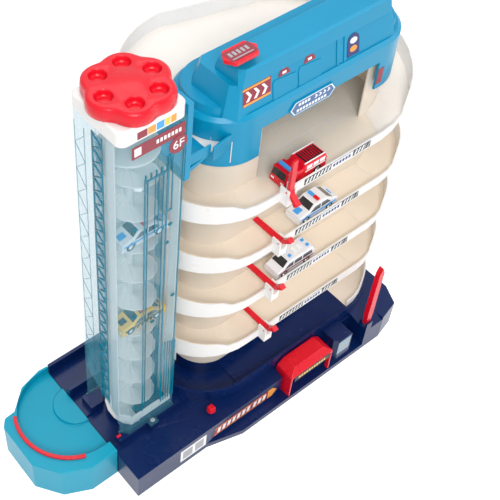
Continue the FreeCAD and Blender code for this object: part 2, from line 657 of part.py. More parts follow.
# ---- teal bridge from the lift to the top deck ----
bridge = Piece("door_bridge")
frame_left = cx + outer_half + S.flange + S.gap
frame_right = frame_left + S.bridge_frame
bridge.pad(rect(S.bridge_front, S.bridge_back, S.bridge_foot, S.bridge_head), frame_left, frame_right, "YZ_Plane")
bridge.cut(rect(S.door_front, S.door_back, bridge_floor + S.floor_thick, S.door_head),
           frame_left - 1, frame_right + 1, "YZ_Plane")
bridge.pad(rect(frame_right - 1, S.chute_end, S.door_front, S.door_back), bridge_floor + S.gap,
           bridge_floor + S.floor_thick)
for low, high in ((S.door_front - S.wall, S.door_front), (S.door_back, S.door_back + S.wall)):
    bridge.pad(rect(frame_right - 1, S.chute_end, low, high), bridge_floor + S.gap,
               bridge_floor + S.floor_thick + S.chute_wall)
bridge.pad(poly((frame_right - 1, S.bridge_foot), (frame_right - 1, S.bridge_foot + 8),
                (S.chute_end - 8, bridge_floor + 1), (S.chute_end, bridge_floor + 1)),
           S.door_front - S.wall, S.door_front + 4, "XZ_Plane")

# ---- framed sign on the roof ----
sign = Piece("roof_sign")
sx0, sx1, sy0, sy1 = S.sign_left, S.sign_right, S.sign_front, S.sign_back
mid, point, edge_in = (sy0 + sy1) / 2, S.sign_border * 2, S.sign_border
sign_low = S.roof_head + S.sign_rise
sign_high = sign_low + S.sign_thick
sign.pad(poly((sx0, mid), (sx0 + point, sy0), (sx1 - point, sy0), (sx1, mid), (sx1 - point, sy1),
              (sx0 + point, sy1)), sign_low, sign_high)
sign.cut(poly((sx0 + edge_in + 1, mid), (sx0 + point + 2.5, sy0 + edge_in), (sx1 - point - 2.5, sy0 + edge_in),
              (sx1 - edge_in - 1, mid), (sx1 - point - 2.5, sy1 - edge_in), (sx0 + point + 2.5, sy1 - edge_in)),
         sign_high - 2, sign_high)
for x in (sx1 - 26, sx1 - 12):
    sign.pad(rect(x, x + S.post_width, mid - S.post_width, mid + S.post_width), S.roof_head, sign_low)

# ---- lever gates on the front rims ----
for number in (5, 4, 3, 2):
    floor = S.level_two + S.storey * (number - 2)
    gate = Piece("gate_%df" % number, (S.gate_across, S.gate_pivot, floor + S.gate_rise))
    w, th = S.gate_width / 2, S.gate_thick / 2
    pin_end = w + S.gap + S.ear
    reach, tail = S.gate_reach, S.gate_tail
    if number == 5:
        arm = poly((-th, 0), (th, 0), (th * 0.6, reach), (-th * 0.6, reach))
        lever = poly((-th, -1), (th, 1.5), (-tail + th, -tail - th), (-tail - th, -tail + th))
    else:
        arm = poly((0, -th), (reach, -th * 0.6), (reach, th * 0.6), (0, th))
        lever = poly((1, -th), (1, th), (-tail + th + 1, tail + th), (-tail - th, tail - th + 1))
    gate.pad(disc(0, 0, th + 1), -w, w, "YZ_Plane")
    gate.pad(disc(0, 0, S.pin_radius), -pin_end, pin_end, "YZ_Plane")
    gate.pad(arm, -w, w, "YZ_Plane")
    gate.pad(lever, -w, w, "YZ_Plane")

# ---- base ----
base = Piece("base_tray")
dt = S.deck_top
base.pad(poly((S.base_left, S.base_front), (S.yard_left - 2, S.base_front), (S.yard_left, S.yard_back),
              (S.block_left, S.yard_back), (S.base_right, S.yard_back + 7), (S.base_right, S.base_back),
              (S.base_left, S.base_back)), 0, dt)
yard_edge = S.yard_back + 17
base.pad(poly((S.lip_left, S.base_front), (S.lip_bend, S.tray_front), (S.corner_left, S.tray_front),
              (S.corner_right, S.corner_front), (S.base_right, S.side_back), (S.base_right, yard_edge),
              (S.lip_left, yard_edge)), 0, S.tray_top)
block_back = S.yard_back + 42
base.pad(poly((S.tray_front, 0), (block_back, 0), (block_back, S.block_high), (S.tray_front, S.block_low)),
         S.block_left, S.corner_left + 4, "YZ_Plane")
base.pad(poly((S.corner_left + 3, S.tray_front), (S.corner_right, S.corner_front), (S.base_right, S.side_back),
              (S.base_right, block_back), (S.corner_left + 3, block_back)), 0, dt)
base.pad(rect(S.plinth_left, S.plinth_right, S.plinth_front, S.tower_back), dt, S.shell_foot)
base.pad(rect(S.screw_across - S.boss_width / 2, S.screw_across + S.boss_width / 2, S.screw_depth - S.boss_reach,
              S.plinth_front + 1), dt, S.shell_foot)
# Ring wall, core seat and the falling front lane of the first floor track.
ring_in = S.deck_radius + S.gap
ring_out = ring_in + S.rim_wall
seat_radius = S.core_radius
base.pad(stadium(S.turn_left, S.turn_right, S.turn_depth, ring_out), dt, S.lane_wall)
base.cut(stadium(S.turn_left, S.turn_right, S.turn_depth, ring_in), S.lane_low - 2, S.lane_wall)
base.pad(stadium(S.turn_left, S.turn_right, S.turn_depth, seat_radius), dt,
         S.level_two - S.storey)
lane_front = S.turn_depth - ring_in
base.pad(poly((S.turn_left, dt), (S.turn_right, dt), (S.turn_right, S.lane_wall), (S.turn_left, S.lane_low)),
         lane_front - 1, S.turn_depth - seat_radius + 1, "XZ_Plane")
# Track behind the tower: a raised bank with the bent lane cut into it.
bank_right, bank_front = S.bend_across + S.bend_outer + 4.5, S.bend_depth + 14.5
base.pad(rect(S.base_left, bank_right, bank_front, S.base_back), dt, S.bend_wall)
base.pad(rect(S.bend_across - S.bend_inner, S.bend_across + 16, S.tower_back, bank_front + 1), dt, S.bend_wall)
bx, by = S.bend_across, S.bend_depth
base.cut(poly((bx + S.bend_inner, by), (bx + S.bend_outer, by, S.bend_outer), (bx, by + S.bend_outer),
              (S.base_left - 1, by + S.bend_outer), (S.base_left - 1, by + S.bend_inner),
              (bx, by + S.bend_inner, -S.bend_inner)), dt - 0.5, S.lane_wall + 1)
base.cut(rect(bx + S.bend_inner, bx + S.bend_outer, S.turn_depth, by + 0.5), dt - 0.5, S.lane_wall + 1)
# Lift well and the lane into it.
base.cut(disc(cx, cy, S.flight_radius + 2.5), S.well_floor, S.shell_foot)
base.cut(rect(S.base_left - 1, cx + 38, S.well_front, S.well_back), S.well_floor, S.shell_foot + 20)
# Ticket booth, barrier fork and the button's bore.
bl, br, bf = S.booth_left, S.booth_right, S.booth_front
base.pad(poly((bl, bf + 8), (bl + 6, bf), (br, bf), (br, S.yard_back + 1), (bl, S.yard_back + 1)),
         S.tray_top, S.booth_top)
w = S.barrier_thick / 2 + S.gap
for x in (S.barrier_depth - w - 3, S.barrier_depth + w):
    base.pad(rect(S.barrier_across - 6, S.barrier_across + 6, S.block_low - 4, S.barrier_pivot + 5), x, x + 3,
             "XZ_Plane")
base.cut(disc(S.barrier_across, S.barrier_pivot, S.pin_radius + S.pin_gap), S.barrier_depth - w - 3.5,
         S.barrier_depth + w + 3.5, "XZ_Plane")
base.cut(disc(S.button_across, S.button_depth, S.stem_radius + S.pin_gap), dt - 14, dt)
# The moulding is open underneath.
bw, lid = S.base_wall, S.well_floor - S.base_wall
base.cut(rect(S.base_left + bw, S.base_right - bw, S.yard_back + bw + 7, S.base_back - bw), 0, lid)
base.cut(rect(S.base_left + bw, S.yard_left - bw - 2, S.base_front + bw, S.yard_back + bw + 8), 0, lid)
base.cut(poly((S.block_left + bw, S.tray_front + bw), (S.corner_left, S.tray_front + bw),
              (S.corner_right - bw, S.corner_front + bw), (S.base_right - bw, S.side_back), (S.base_right - bw, yard_edge),
              (S.block_left + bw, yard_edge)), 0, lid)
base.cut(stadium(S.turn_left, S.turn_right, S.turn_depth, seat_radius - bw), 0, S.level_two - S.storey - bw)
base.cut(rect(bl + bw, br - bw, bf + 8 + bw, S.yard_back - 1), 0, S.booth_top - bw)

# ---- turning pan ----
pan = Piece("turn_pan")
px, py = S.pan_across, S.pan_depth
edge = S.base_left - S.gap
brim_y = S.pan_inner + 3
pan.pad(poly((edge, py - brim_y - 15.5), (edge, py + brim_y), (px - 2, py + brim_y + 1), (px - 38, py + brim_y - 8.4),
             (S.notch_right, S.notch_back + 1), (S.notch_left, S.notch_back), (S.pan_left, S.notch_back - 12),
             (S.pan_left, py - 42.5), (px - 70, py - brim_y + 2.5), (px - 32, py - brim_y - 15.5)), 0, S.pan_top)
pan.round(S.pan_round, lambda e: upright(e) and e.BoundBox.XMin < float(px) - 10)
pan.cut(disc(px, py, S.pan_inner), S.pan_floor, S.pan_top)
pan.cut(rect(px, edge + 1, py - S.pan_inner, py + S.pan_inner), S.pan_floor, S.pan_top)
pan.pad([[(edge, S.island_depth - S.island_radius), (edge, S.island_depth + S.island_radius,
                                                     S.island_radius)]], S.pan_floor, S.pan_floor + 5)
pan.cut([[(px, py - S.pan_inner), (edge - S.base_wall, py - S.pan_inner), (edge - S.base_wall, py + S.pan_inner),
          (px, py + S.pan_inner, S.pan_inner)]], 0, S.pan_floor - S.base_wall)

bumper = Piece("pan_bumper", (px, py, 0))
a0, a1 = math.radians(154), math.radians(250)
ri, ro = S.bumper_inner, S.bumper_outer
ca0, sa0, ca1, sa1 = math.cos(a0), math.sin(a0), math.cos(a1), math.sin(a1)
bumper.pad([[(ri * ca0, ri * sa0), (ro * ca0, ro * sa0, ro), (ro * ca1, ro * sa1), (ri * ca1, ri * sa1, -ri)]],
           S.pan_top, S.pan_top + S.bumper_height)

# ---- canopy over the garage entrance ----
canopy = Piece("entrance_canopy")
cl, cr, cf, cb = S.canopy_left, S.canopy_right, S.canopy_front, S.yard_back - S.gap
ct, ce, cw = S.canopy_top, S.canopy_eave, S.wall + 0.6
canopy.pad(poly((cf, S.tray_top), (cb, S.tray_top), (cb, ct), (cf + 9, ct), (cf, ce)), cl, cr, "YZ_Plane")
canopy.cut(rect(cl + cw, cr - cw, S.tray_top, ce - cw), cf - 1, cb - cw, "XZ_Plane")
canopy.cut(poly((cl - 1, ce), (cl - 1, ct + 1), (cl + 14, ct + 1)), cf - 1, cb + 1, "XZ_Plane")
canopy.cut(poly((cr + 1, ce), (cr + 1, ct + 1), (cr - 14, ct + 1)), cf - 1, cb + 1, "XZ_Plane")
canopy.cut(rect(cf + 7, cb - cw, S.tray_top, ce - 12), cr - cw - 1, cr + 1, "YZ_Plane")

# ---- barrier, button, peg and screws ----
barrier = Piece("entrance_barrier", (S.barrier_across, S.barrier_depth, S.barrier_pivot))
bt, blen = S.barrier_thick / 2, S.barrier_length
barrier.pad(poly((-bt * 0.7, -3), (bt * 0.7, -3), (bt * 1.4, 24), (bt * 1.2, blen - 12), (0, blen),
                 (-bt * 1.2, blen - 12), (-bt * 1.4, 24)), -bt, bt, "XZ_Plane")
barrier.pad(disc(0, 0, S.pin_radius), -bt - S.gap - 3, bt + S.gap + 3, "XZ_Plane")

button = Piece("eject_button", (S.button_across, S.button_depth, dt))
button.pad(disc(0, 0, S.button_radius), S.button_travel + S.gap, S.button_rise)
button.pad(disc(0, 0, S.stem_radius), -9, S.button_travel + 1)

peg = Piece("entry_peg")
peg.pad(disc(S.well_front - 4, S.shell_foot + S.peg_radius, S.peg_radius), S.plinth_left + 0.5,
        cx - outer_half - S.flange - S.gap, "YZ_Plane")

screws = Piece("shell_screws")
screws.pad(disc(S.screw_across, S.screw_depth, S.screw_radius), S.shell_foot + S.flange, S.shell_foot + S.flange + 2)


# ---- toy cars ----
def make_car(name, kind, nose, line, floor):
    half_l, w = S.car_length / 2, S.car_width / 2
    place = (nose + half_l, line, floor)
    body = Piece(name, place)
    low, top = S.car_clear, S.car_height
    if kind == "truck":
        side = poly((-half_l, low), (half_l, low), (half_l, top - 4), (half_l - 2, top - 1), (-2, top - 1),
                    (-5, top - 6), (-12, top - 6), (-15, top), (-half_l + 4, top), (-half_l, top - 12))
    elif kind == "van":
        side = poly((-half_l, low), (half_l, low), (half_l, top - 5), (half_l - 4, top), (-half_l + 22, top),
                    (-half_l + 10, top - 9), (-half_l + 1, top - 12))
    else:
        side = poly((-half_l, low), (half_l, low), (half_l, top - 11), (half_l - 8, top - 8), (half_l - 20, top),
                    (-half_l + 28, top), (-half_l + 17, top - 8), (-half_l + 2, top - 12))
    body.pad(side, -w, w, "XZ_Plane")
    body.bevel(S.body_edge, lambda e: abs(abs(e.BoundBox.Center.y) - float(w)) < 1e-3
               and e.BoundBox.YLength < 1e-3 and e.BoundBox.ZMin > float(low) + 1)
    r, reach, ww = S.wheel_radius, S.axle_reach, S.wheel_width
    for x in (-reach, reach):
        for y0, y1 in ((-w - 1, -w + ww + 1.4), (w - ww - 1.4, w + 1)):
            body.cut(disc(x, r, r + 1), y0, y1, "XZ_Plane")
        body.cut(disc(x, r, S.axle_radius + S.pin_gap), -w, w, "XZ_Plane")
    for end, x in (("front", -reach), ("rear", reach)):
        wheels = Piece("%s_%s_wheels" % (name, end), (nose + half_l + x, line, floor + r))
        wheels.pad(disc(0, 0, r), -w + 0.5, -w + 0.5 + ww, "XZ_Plane")
        wheels.pad(disc(0, 0, S.axle_radius), -w + 1, w - 1, "XZ_Plane")
        wheels.pad(disc(0, 0, r), w - 0.5 - ww, w - 0.5, "XZ_Plane")


lane = S.lane_line
make_car("fire_truck", "truck", S.truck_nose, lane, S.level_two + S.storey * 3 + S.road_gap)
make_car("patrol_sedan", "sedan", S.sedan_nose, lane, S.level_two + S.storey * 2 + S.road_gap)
make_car("rescue_van", "van", S.van_nose, lane, S.level_two + S.storey + S.road_gap)
make_car("lift_sedan", "sedan", cx - S.car_length / 2, S.lift_line, S.upper_cell + 0.4)
make_car("lift_taxi", "sedan", cx - S.car_length / 2, S.lift_line, S.upper_cell - S.screw_pitch * 3 + 0.4)

# ---- checks and export ----
doc.recompute()
bad = [o.Name for o in doc.Objects if "Invalid" in o.State or "Error" in o.State]
if bad:
    raise RuntimeError("failed objects: %s" % bad)
pieces = [o for o in doc.Objects if o.TypeId == "PartDesign::Body"
          or (o.TypeId == "Part::Feature" and o.Label == o.Name)]
for piece in pieces:
    if piece.Shape.isNull() or not piece.Shape.isValid() or piece.Shape.Volume <= 0:
        raise RuntimeError("bad shape: %s" % piece.Label)
os.makedirs("parts", exist_ok=True)
for piece in pieces:
    piece.Shape.exportStep("parts/%s.step" % piece.Label)
    box = piece.Shape.BoundBox
    print("%-28s %2d solid %9.1f mm3  x %7.1f %7.1f  y %7.1f %7.1f  z %6.1f %6.1f" % (
        piece.Label, len(piece.Shape.Solids), piece.Shape.Volume, box.XMin, box.XMax, box.YMin, box.YMax,
        box.ZMin, box.ZMax))
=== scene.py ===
import json
import math
import bmesh
import bpy
from mathutils import Matrix, Vector


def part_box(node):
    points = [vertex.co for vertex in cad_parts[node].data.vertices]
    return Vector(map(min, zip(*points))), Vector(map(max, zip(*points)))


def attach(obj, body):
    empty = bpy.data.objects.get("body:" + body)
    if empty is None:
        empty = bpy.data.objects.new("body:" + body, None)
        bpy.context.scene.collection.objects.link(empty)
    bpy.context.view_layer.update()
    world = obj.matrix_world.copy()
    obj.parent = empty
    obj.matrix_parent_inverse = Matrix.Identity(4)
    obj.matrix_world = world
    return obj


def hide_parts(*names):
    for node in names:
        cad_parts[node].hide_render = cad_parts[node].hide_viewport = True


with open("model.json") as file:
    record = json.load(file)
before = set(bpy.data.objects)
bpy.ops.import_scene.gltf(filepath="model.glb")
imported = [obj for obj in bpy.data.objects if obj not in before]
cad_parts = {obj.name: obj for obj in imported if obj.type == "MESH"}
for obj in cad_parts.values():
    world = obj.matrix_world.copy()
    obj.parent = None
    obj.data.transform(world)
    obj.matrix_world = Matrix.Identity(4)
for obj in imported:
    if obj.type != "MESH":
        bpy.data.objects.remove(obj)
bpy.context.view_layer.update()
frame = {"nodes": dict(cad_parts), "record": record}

mm = 0.001
scene = bpy.context.scene
scene.view_settings.view_transform = "Standard"
nodes = frame["nodes"]
bodyOf = {node: body for body, group in frame["record"]["behaviour"]["bodies"].items() for node in group}


def boxOf(node):  # the two corners of a node's box, in millimetres
    low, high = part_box(node)
    return Vector(low) / mm, Vector(high) / mm


# moulded plastic: faint flow marks, fine pores and an uneven gloss
moulding = {"flowDetail": 3, "poreScale": 900, "roughSwing": 0.16, "bumpDistance": 0.0004, "ior": 1.47,
            "glowRadius": (0.012, 0.009, 0.006), "coatRoughness": 0.08}


def newGroup(name, inputs, outputs):
    group = bpy.data.node_groups.new(name, "ShaderNodeTree")
    for label, kind, value in inputs:
        socket = group.interface.new_socket(label, in_out="INPUT", socket_type=kind)
        socket.default_value = value
    for label, kind in outputs:
        group.interface.new_socket(label, in_out="OUTPUT", socket_type=kind)
    return group, group.nodes.new("NodeGroupInput"), group.nodes.new("NodeGroupOutput")


def makeMouldedGroup():
    group, given, out = newGroup("mouldedSurface", [
        ("Color", "NodeSocketColor", (0.5, 0.5, 0.5, 1)), ("Shade", "NodeSocketFloat", 0.08),
        ("Roughness", "NodeSocketFloat", 0.3), ("Scale", "NodeSocketFloat", 40.0)],
        [("Color", "NodeSocketColor"), ("Roughness", "NodeSocketFloat"), ("Height", "NodeSocketFloat")])
    link = group.links.new
    place = group.nodes.new("ShaderNodeTexCoord")
    flow = group.nodes.new("ShaderNodeTexNoise")
    flow.inputs["Detail"].default_value = moulding["flowDetail"]
    pores = group.nodes.new("ShaderNodeTexNoise")
    pores.inputs["Scale"].default_value = moulding["poreScale"]
    link(place.outputs["Object"], flow.inputs["Vector"])
    link(place.outputs["Object"], pores.inputs["Vector"])
    link(given.outputs["Scale"], flow.inputs["Scale"])
    centre = group.nodes.new("ShaderNodeMath")  # centred, so that the noise darkens as much as it lightens
    centre.operation = "SUBTRACT"
    centre.inputs[1].default_value = 0.5
    link(flow.outputs["Fac"], centre.inputs[0])
    swing = group.nodes.new("ShaderNodeMath")
    swing.operation = "MULTIPLY_ADD"
    swing.inputs[2].default_value = 1.0
    link(centre.outputs[0], swing.inputs[0])
    link(given.outputs["Shade"], swing.inputs[1])
    tint = group.nodes.new("ShaderNodeVectorMath")
    tint.operation = "SCALE"
    link(given.outputs["Color"], tint.inputs[0])
    link(swing.outputs[0], tint.inputs["Scale"])
    link(tint.outputs[0], out.inputs["Color"])
    rough = group.nodes.new("ShaderNodeMath")
    rough.operation = "MULTIPLY_ADD"
    rough.inputs[1].default_value = moulding["roughSwing"]
    link(centre.outputs[0], rough.inputs[0])
    link(given.outputs["Roughness"], rough.inputs[2])
    link(rough.outputs[0], out.inputs["Roughness"])
    link(pores.outputs["Fac"], out.inputs["Height"])
    return group


mouldedGroup = makeMouldedGroup()


def plasticMaterial(name, color, roughness=0.42, shade=0.05, scale=40, bump=0.03, glow=0.0, alpha=1.0,
                    coat=0.0, specular=0.5, metallic=0.0):
    material = bpy.data.materials.new(name)
    material.use_nodes = True
    tree = material.node_tree
    shader = tree.nodes["Principled BSDF"]
    surface = tree.nodes.new("ShaderNodeGroup")
    surface.node_tree = mouldedGroup
    surface.inputs["Color"].default_value = (*color, 1)
    surface.inputs["Shade"].default_value = shade
    surface.inputs["Roughness"].default_value = roughness
    surface.inputs["Scale"].default_value = scale
    bumpNode = tree.nodes.new("ShaderNodeBump")
    bumpNode.inputs["Strength"].default_value = bump
    bumpNode.inputs["Distance"].default_value = moulding["bumpDistance"]
    tree.links.new(surface.outputs["Color"], shader.inputs["Base Color"])
    tree.links.new(surface.outputs["Roughness"], shader.inputs["Roughness"])
    tree.links.new(surface.outputs["Height"], bumpNode.inputs["Height"])
    tree.links.new(bumpNode.outputs["Normal"], shader.inputs["Normal"])
    shader.inputs["IOR"].default_value = moulding["ior"]
    shader.inputs["Specular IOR Level"].default_value = specular
    shader.inputs["Metallic"].default_value = metallic
    if glow:  # light spreads a little under pale plastic
        shader.inputs["Subsurface Weight"].default_value = glow
        shader.inputs["Subsurface Radius"].default_value = moulding["glowRadius"]
        shader.inputs["Subsurface Scale"].default_value = 1.0
    if coat:
        shader.inputs["Coat Weight"].default_value = coat
        shader.inputs["Coat Roughness"].default_value = moulding["coatRoughness"]
    shader.inputs["Alpha"].default_value = alpha
    return material


colors = {  # linear values judged from the photograph's lit surfaces
    "navy": (0.0015, 0.014, 0.085), "teal": (0.0, 0.255, 0.45), "panTeal": (0.002, 0.32, 0.47),
    # the first two deck tones on the next line are painted warm shade: darker, warmer tones of the one off-white
    # deck plastic
    "shadedCream": (0.80, 0.70, 0.59), "shadedPaleFloor": (0.80, 0.75, 0.70), "white": (0.80, 0.785, 0.77),
    "red": (0.68, 0.004, 0.018), "clear": (0.14, 0.47, 0.60), "rib": (0.0, 0.22, 0.33),
    "film": (0.02, 0.26, 0.38), "black": (0.012, 0.012, 0.014), "window": (0.015, 0.018, 0.022),
    "label": (0.86, 0.87, 0.88), "labelNavy": (0.02, 0.035, 0.16), "labelBlue": (0.06, 0.14, 0.32),
    "labelRed": (0.26, 0.022, 0.04), "orange": (0.85, 0.33, 0.05), "yellow": (0.90, 0.55, 0.04),
    "grey": (0.35, 0.36, 0.38), "skyBlue": (0.05, 0.35, 0.80), "paleBlue": (0.24, 0.42, 0.55),
    "pearl": (0.78, 0.79, 0.82), "steel": (0.75, 0.75, 0.76)}
finish = {
    "navy": plasticMaterial("navyPlastic", colors["navy"], 0.26, 0.25, 25, coat=0.05, specular=0.3),
    "teal": plasticMaterial("tealPlastic", colors["teal"], 0.32, 0.12, 30, coat=0.05, specular=0.3),
    "panTeal": plasticMaterial("panPlastic", colors["panTeal"], 0.34, 0.12, 30, specular=0.3),
    # painted warm shade for the decks' inner faces, and a fainter painted warm shade for the top deck's floor
    "shadedCream": plasticMaterial("shadedCreamPlastic", colors["shadedCream"], 0.34, 0.06, 18, glow=0.2),
    "shadedPaleFloor": plasticMaterial("shadedPaleFloorPlastic", colors["shadedPaleFloor"], 0.34, 0.05, 18, glow=0.15),
    "white": plasticMaterial("whitePlastic", colors["white"], 0.30, 0.04, 30, glow=0.1),
    "red": plasticMaterial("redPlastic", colors["red"], 0.28, 0.10, coat=0.08, specular=0.35),
    "clear": plasticMaterial("clearBluePlastic", colors["clear"], 0.05, 0.05, 30, 0.0, alpha=0.17),
    "clearRib": plasticMaterial("clearRibPlastic", colors["rib"], 0.08, 0.05, 30, 0.0, alpha=0.75),
    "clearFilm": plasticMaterial("clearFilmPlastic", colors["film"], 0.08, 0.05, 30, 0.0, alpha=0.16),
    "clearPale": plasticMaterial("clearPalePlastic", colors["film"], 0.08, 0.05, 30, 0.0, alpha=0.4),
    "black": plasticMaterial("blackPlastic", colors["black"], 0.5, 0.1),
    "window": plasticMaterial("darkWindow", colors["window"], 0.12, coat=0.5),
    "label": plasticMaterial("paleLabel", colors["label"], shade=0.03),
    "labelNavy": plasticMaterial("navyLabel", colors["labelNavy"]),
    "labelBlue": plasticMaterial("blueLabel", colors["labelBlue"]),
    "labelRed": plasticMaterial("wineLabel", colors["labelRed"]),
    "orange": plasticMaterial("orangeLabel", colors["orange"]),
    "yellow": plasticMaterial("yellowPaint", colors["yellow"], 0.25, coat=0.4),
    "paleBlue": plasticMaterial("paleBlueLabel", colors["paleBlue"], 0.4, 0.08),
    "grey": plasticMaterial("greyLabel", colors["grey"]),
    "skyBlue": plasticMaterial("bluePaint", colors["skyBlue"], 0.3),
    "pearl": plasticMaterial("pearlPaint", colors["pearl"], 0.22, 0.03, coat=0.5),
    "steel": plasticMaterial("screwSteel", colors["steel"], 0.25, metallic=1.0)}
print("stage: materials")

finishGroups = {  # which of the frame's pieces have which finish; wheels are black
    "navy": ("base_tray",), "panTeal": ("turn_pan",), "teal": ("door_bridge", "top_building"),
    "clear": ("shell_front", "shell_back"), "steel": ("shell_screws",),
    # the decks take the painted warm shade tone; their moulded copies below keep it off the white rims
    "shadedCream": ("deck_6f", "deck_5f", "deck_4f", "deck_3f", "deck_2f"),
    "white": ("guide_liner", "lift_cap", "screw_shaft", "screw_flight_1", "screw_flight_2", "screw_flight_3",
              "screw_flight_4"),
    "red": ("pan_bumper", "lift_knob", "roof_sign", "gate_5f", "gate_4f", "gate_3f", "gate_2f",
            "entrance_barrier", "entrance_canopy", "eject_button", "entry_peg", "fire_truck"),
    "pearl": ("patrol_sedan", "rescue_van", "lift_sedan"), "yellow": ("lift_taxi",)}
finishOf = {node: kind for kind, group in finishGroups.items() for node in group}
for name, piece in nodes.items():
    for slot in piece.material_slots:
        slot.material = finish[finishOf.get(name, "black")]
print("stage: frame finishes")


# small helpers for new pieces, in millimetres
def addPiece(name, bm, body, kinds):
    mesh = bpy.data.meshes.new(name)
    bmesh.ops.recalc_face_normals(bm, faces=bm.faces[:])
    bm.to_mesh(mesh)
    bm.free()
    for kind in kinds:
        mesh.materials.append(finish[kind])
    piece = bpy.data.objects.new(name, mesh)
    scene.collection.objects.link(piece)
    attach(piece, body)
    return piece


def addBlock(bm, low, high, kind=0):  # a block between two corners
    low, high = Vector(low), Vector(high)
    spot = Matrix.Translation((low + high) / 2 * mm)
    made = bmesh.ops.create_cube(bm, size=1.0, matrix=spot @ Matrix.Diagonal((*((high - low) * mm), 1)))
    for face in {f for v in made["verts"] for f in v.link_faces}:
        face.material_index = kind


def addPlate(bm, corners, depth, kind=0):  # a flat outline, thickened by a push vector
    verts = [bm.verts.new(Vector(c) * mm) for c in corners]
    face = bm.faces.new(verts)
    face.material_index = kind
    grown = bmesh.ops.extrude_face_region(bm, geom=[face])
    moved = [g for g in grown["geom"] if isinstance(g, bmesh.types.BMVert)]
    bmesh.ops.translate(bm, verts=moved, vec=Vector(depth) * mm)
    for f in {f for v in moved for f in v.link_faces}:
        f.material_index = kind


def addRod(bm, start, end, radius, kind, segments):
    start, end = Vector(start) * mm, Vector(end) * mm
    run = end - start
    spot = Matrix.Translation((start + end) / 2) @ run.to_track_quat("Z", "Y").to_matrix().to_4x4()
    made = bmesh.ops.create_cone(bm, cap_ends=True, segments=segments, radius1=radius * mm,
                                 radius2=radius * mm, depth=run.length, matrix=spot)
    for face in {f for v in made["verts"] for f in v.link_faces}:
        face.material_index = kind
        face.smooth = len(face.verts) == 4


def frontPlate(bm, outline, y, thick, kind):  # a plate facing the front, from points across and up
    addPlate(bm, [(x, y, z) for x, z in outline], (0, -thick, 0), kind)


def arcPoints(x, z, across, up, steps, span=math.tau):  # points along a whole or part round
    count = steps if span == math.tau else steps + 1
    turns = [span * k / steps for k in range(count)]
    return [(x + across * math.cos(turn), z + up * math.sin(turn)) for turn in turns]


# finer copies of the frame's moulded pieces: merged, smooth round the curves, with small rounded edges
copying = {"mergeWithin": 0.002, "flatAngle": 0.6, "sharpAngle": 28, "roundAngle": 35, "roundSteps": 2}
# a deck's two turns have their middles at left and right, and rim and core are reaches from the line between
# them; inside them the decks get painted warm shade
deck = {"left": -4, "right": 213, "depth": -16.5, "rim": 90.5, "core": 56, "flat": 0.5, "roundEdge": 0.4}
rampFloors = (2, 3, 4, 5)
roundEdges = {
    "base_tray": 0.9, "turn_pan": 0.9, "pan_bumper": 0.6, "lift_cap": 1.2, "door_bridge": 0.6,
    "top_building": 0.9, "roof_sign": 0.6, "gate_5f": 0.6, "gate_4f": 0.6, "gate_3f": 0.6, "gate_2f": 0.6,
    "entrance_barrier": 0.7, "entrance_canopy": 1.2, "eject_button": 0.6, "guide_liner": 0.3,
    "screw_flight_1": 0, "screw_flight_2": 0, "screw_flight_3": 0, "screw_flight_4": 0, "screw_shaft": 0.3}


def mouldedCopy(node, kinds, roundEdge, choose=None):
    bm = bmesh.new()
    bm.from_mesh(nodes[node].data)
    bmesh.ops.remove_doubles(bm, verts=bm.verts[:], dist=copying["mergeWithin"] * mm)
    bmesh.ops.dissolve_limit(bm, angle_limit=math.radians(copying["flatAngle"]), verts=bm.verts[:],
                             edges=bm.edges[:])
    bm.normal_update()
    for face in bm.faces:
        face.smooth = True
        face.material_index = choose(face) if choose else 0
    sharp = math.radians(copying["sharpAngle"])
    for edge in bm.edges:
        edge.smooth = not (len(edge.link_faces) == 2 and edge.calc_face_angle(0) > sharp)
    mesh = bpy.data.meshes.new(node + "Moulded")
    bm.to_mesh(mesh)
    bm.free()
    for kind in kinds:
        mesh.materials.append(finish[kind])
    piece = bpy.data.objects.new(node + "Moulded", mesh)
    scene.collection.objects.link(piece)
    if roundEdge:
        rounding = piece.modifiers.new("roundEdges", "BEVEL")
        rounding.width = roundEdge * mm
        rounding.segments = copying["roundSteps"]
        rounding.limit_method = "ANGLE"
        rounding.angle_limit = math.radians(copying["roundAngle"])
        rounding.miter_outer = "MITER_ARC"
    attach(piece, bodyOf[node])
    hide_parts(node)


def nearCore(face):  # how far a face lies from the line between a deck's two turns
    point = face.calc_center_median() / mm
    along = min(max(point.x, deck["left"]), deck["right"])
    return math.hypot(point.x - along, point.y - deck["depth"])


def rampShadeFinish(face):  # painted warm shade inside the rim, the plain white plastic on the rims
    return int(nearCore(face) > deck["rim"])


def topDeckShadeFinish(face):  # painted warm shade on the core, white kerb, a fainter painted warm shade on the floor
    if abs(face.normal.z) > deck["flat"]:
        return 2
    return int(nearCore(face) > deck["core"])


# the decks' inner faces take the painted warm shade, the top deck's floor a fainter one
for floor in rampFloors:
    mouldedCopy("deck_%df" % floor, ["shadedCream", "white"], deck["roundEdge"], rampShadeFinish)
mouldedCopy("deck_6f", ["shadedCream", "white", "shadedPaleFloor"], deck["roundEdge"], topDeckShadeFinish)
for node, roundEdge in roundEdges.items():
    mouldedCopy(node, [finishOf[node]], roundEdge)
print("stage: moulded copies")


# the knob: a lobed outline with a rounded shoulder and six deep finger holes
knob = {"notch": 44.8, "lobe": 7.1, "lobes": 6, "lobeRound": 0.08, "turn": 4.5, "outlineSteps": 144,
        "lower": ((0, 3.0), (0, 1.0), (1.0, 0.3), (8, 0.0)),  # height above the foot and inset of each ring
        "upper": ((3.6, 0.8), (2.6, 1.2), (1.8, 1.9), (0.4, 3.9), (0, 4.7)),  # drop below the head and inset
        "holeReach": 33.3, "holeRadius": 11.0, "holeSteps": 40, "sharpAngle": 40,
        "holeRings": ((10.5, 0.3), (10.0, 1.0), (9.2, 4.2), (8.4, 6.6), (7.3, 7.5), (6.2, 7.2), (5.0, 6.9))}


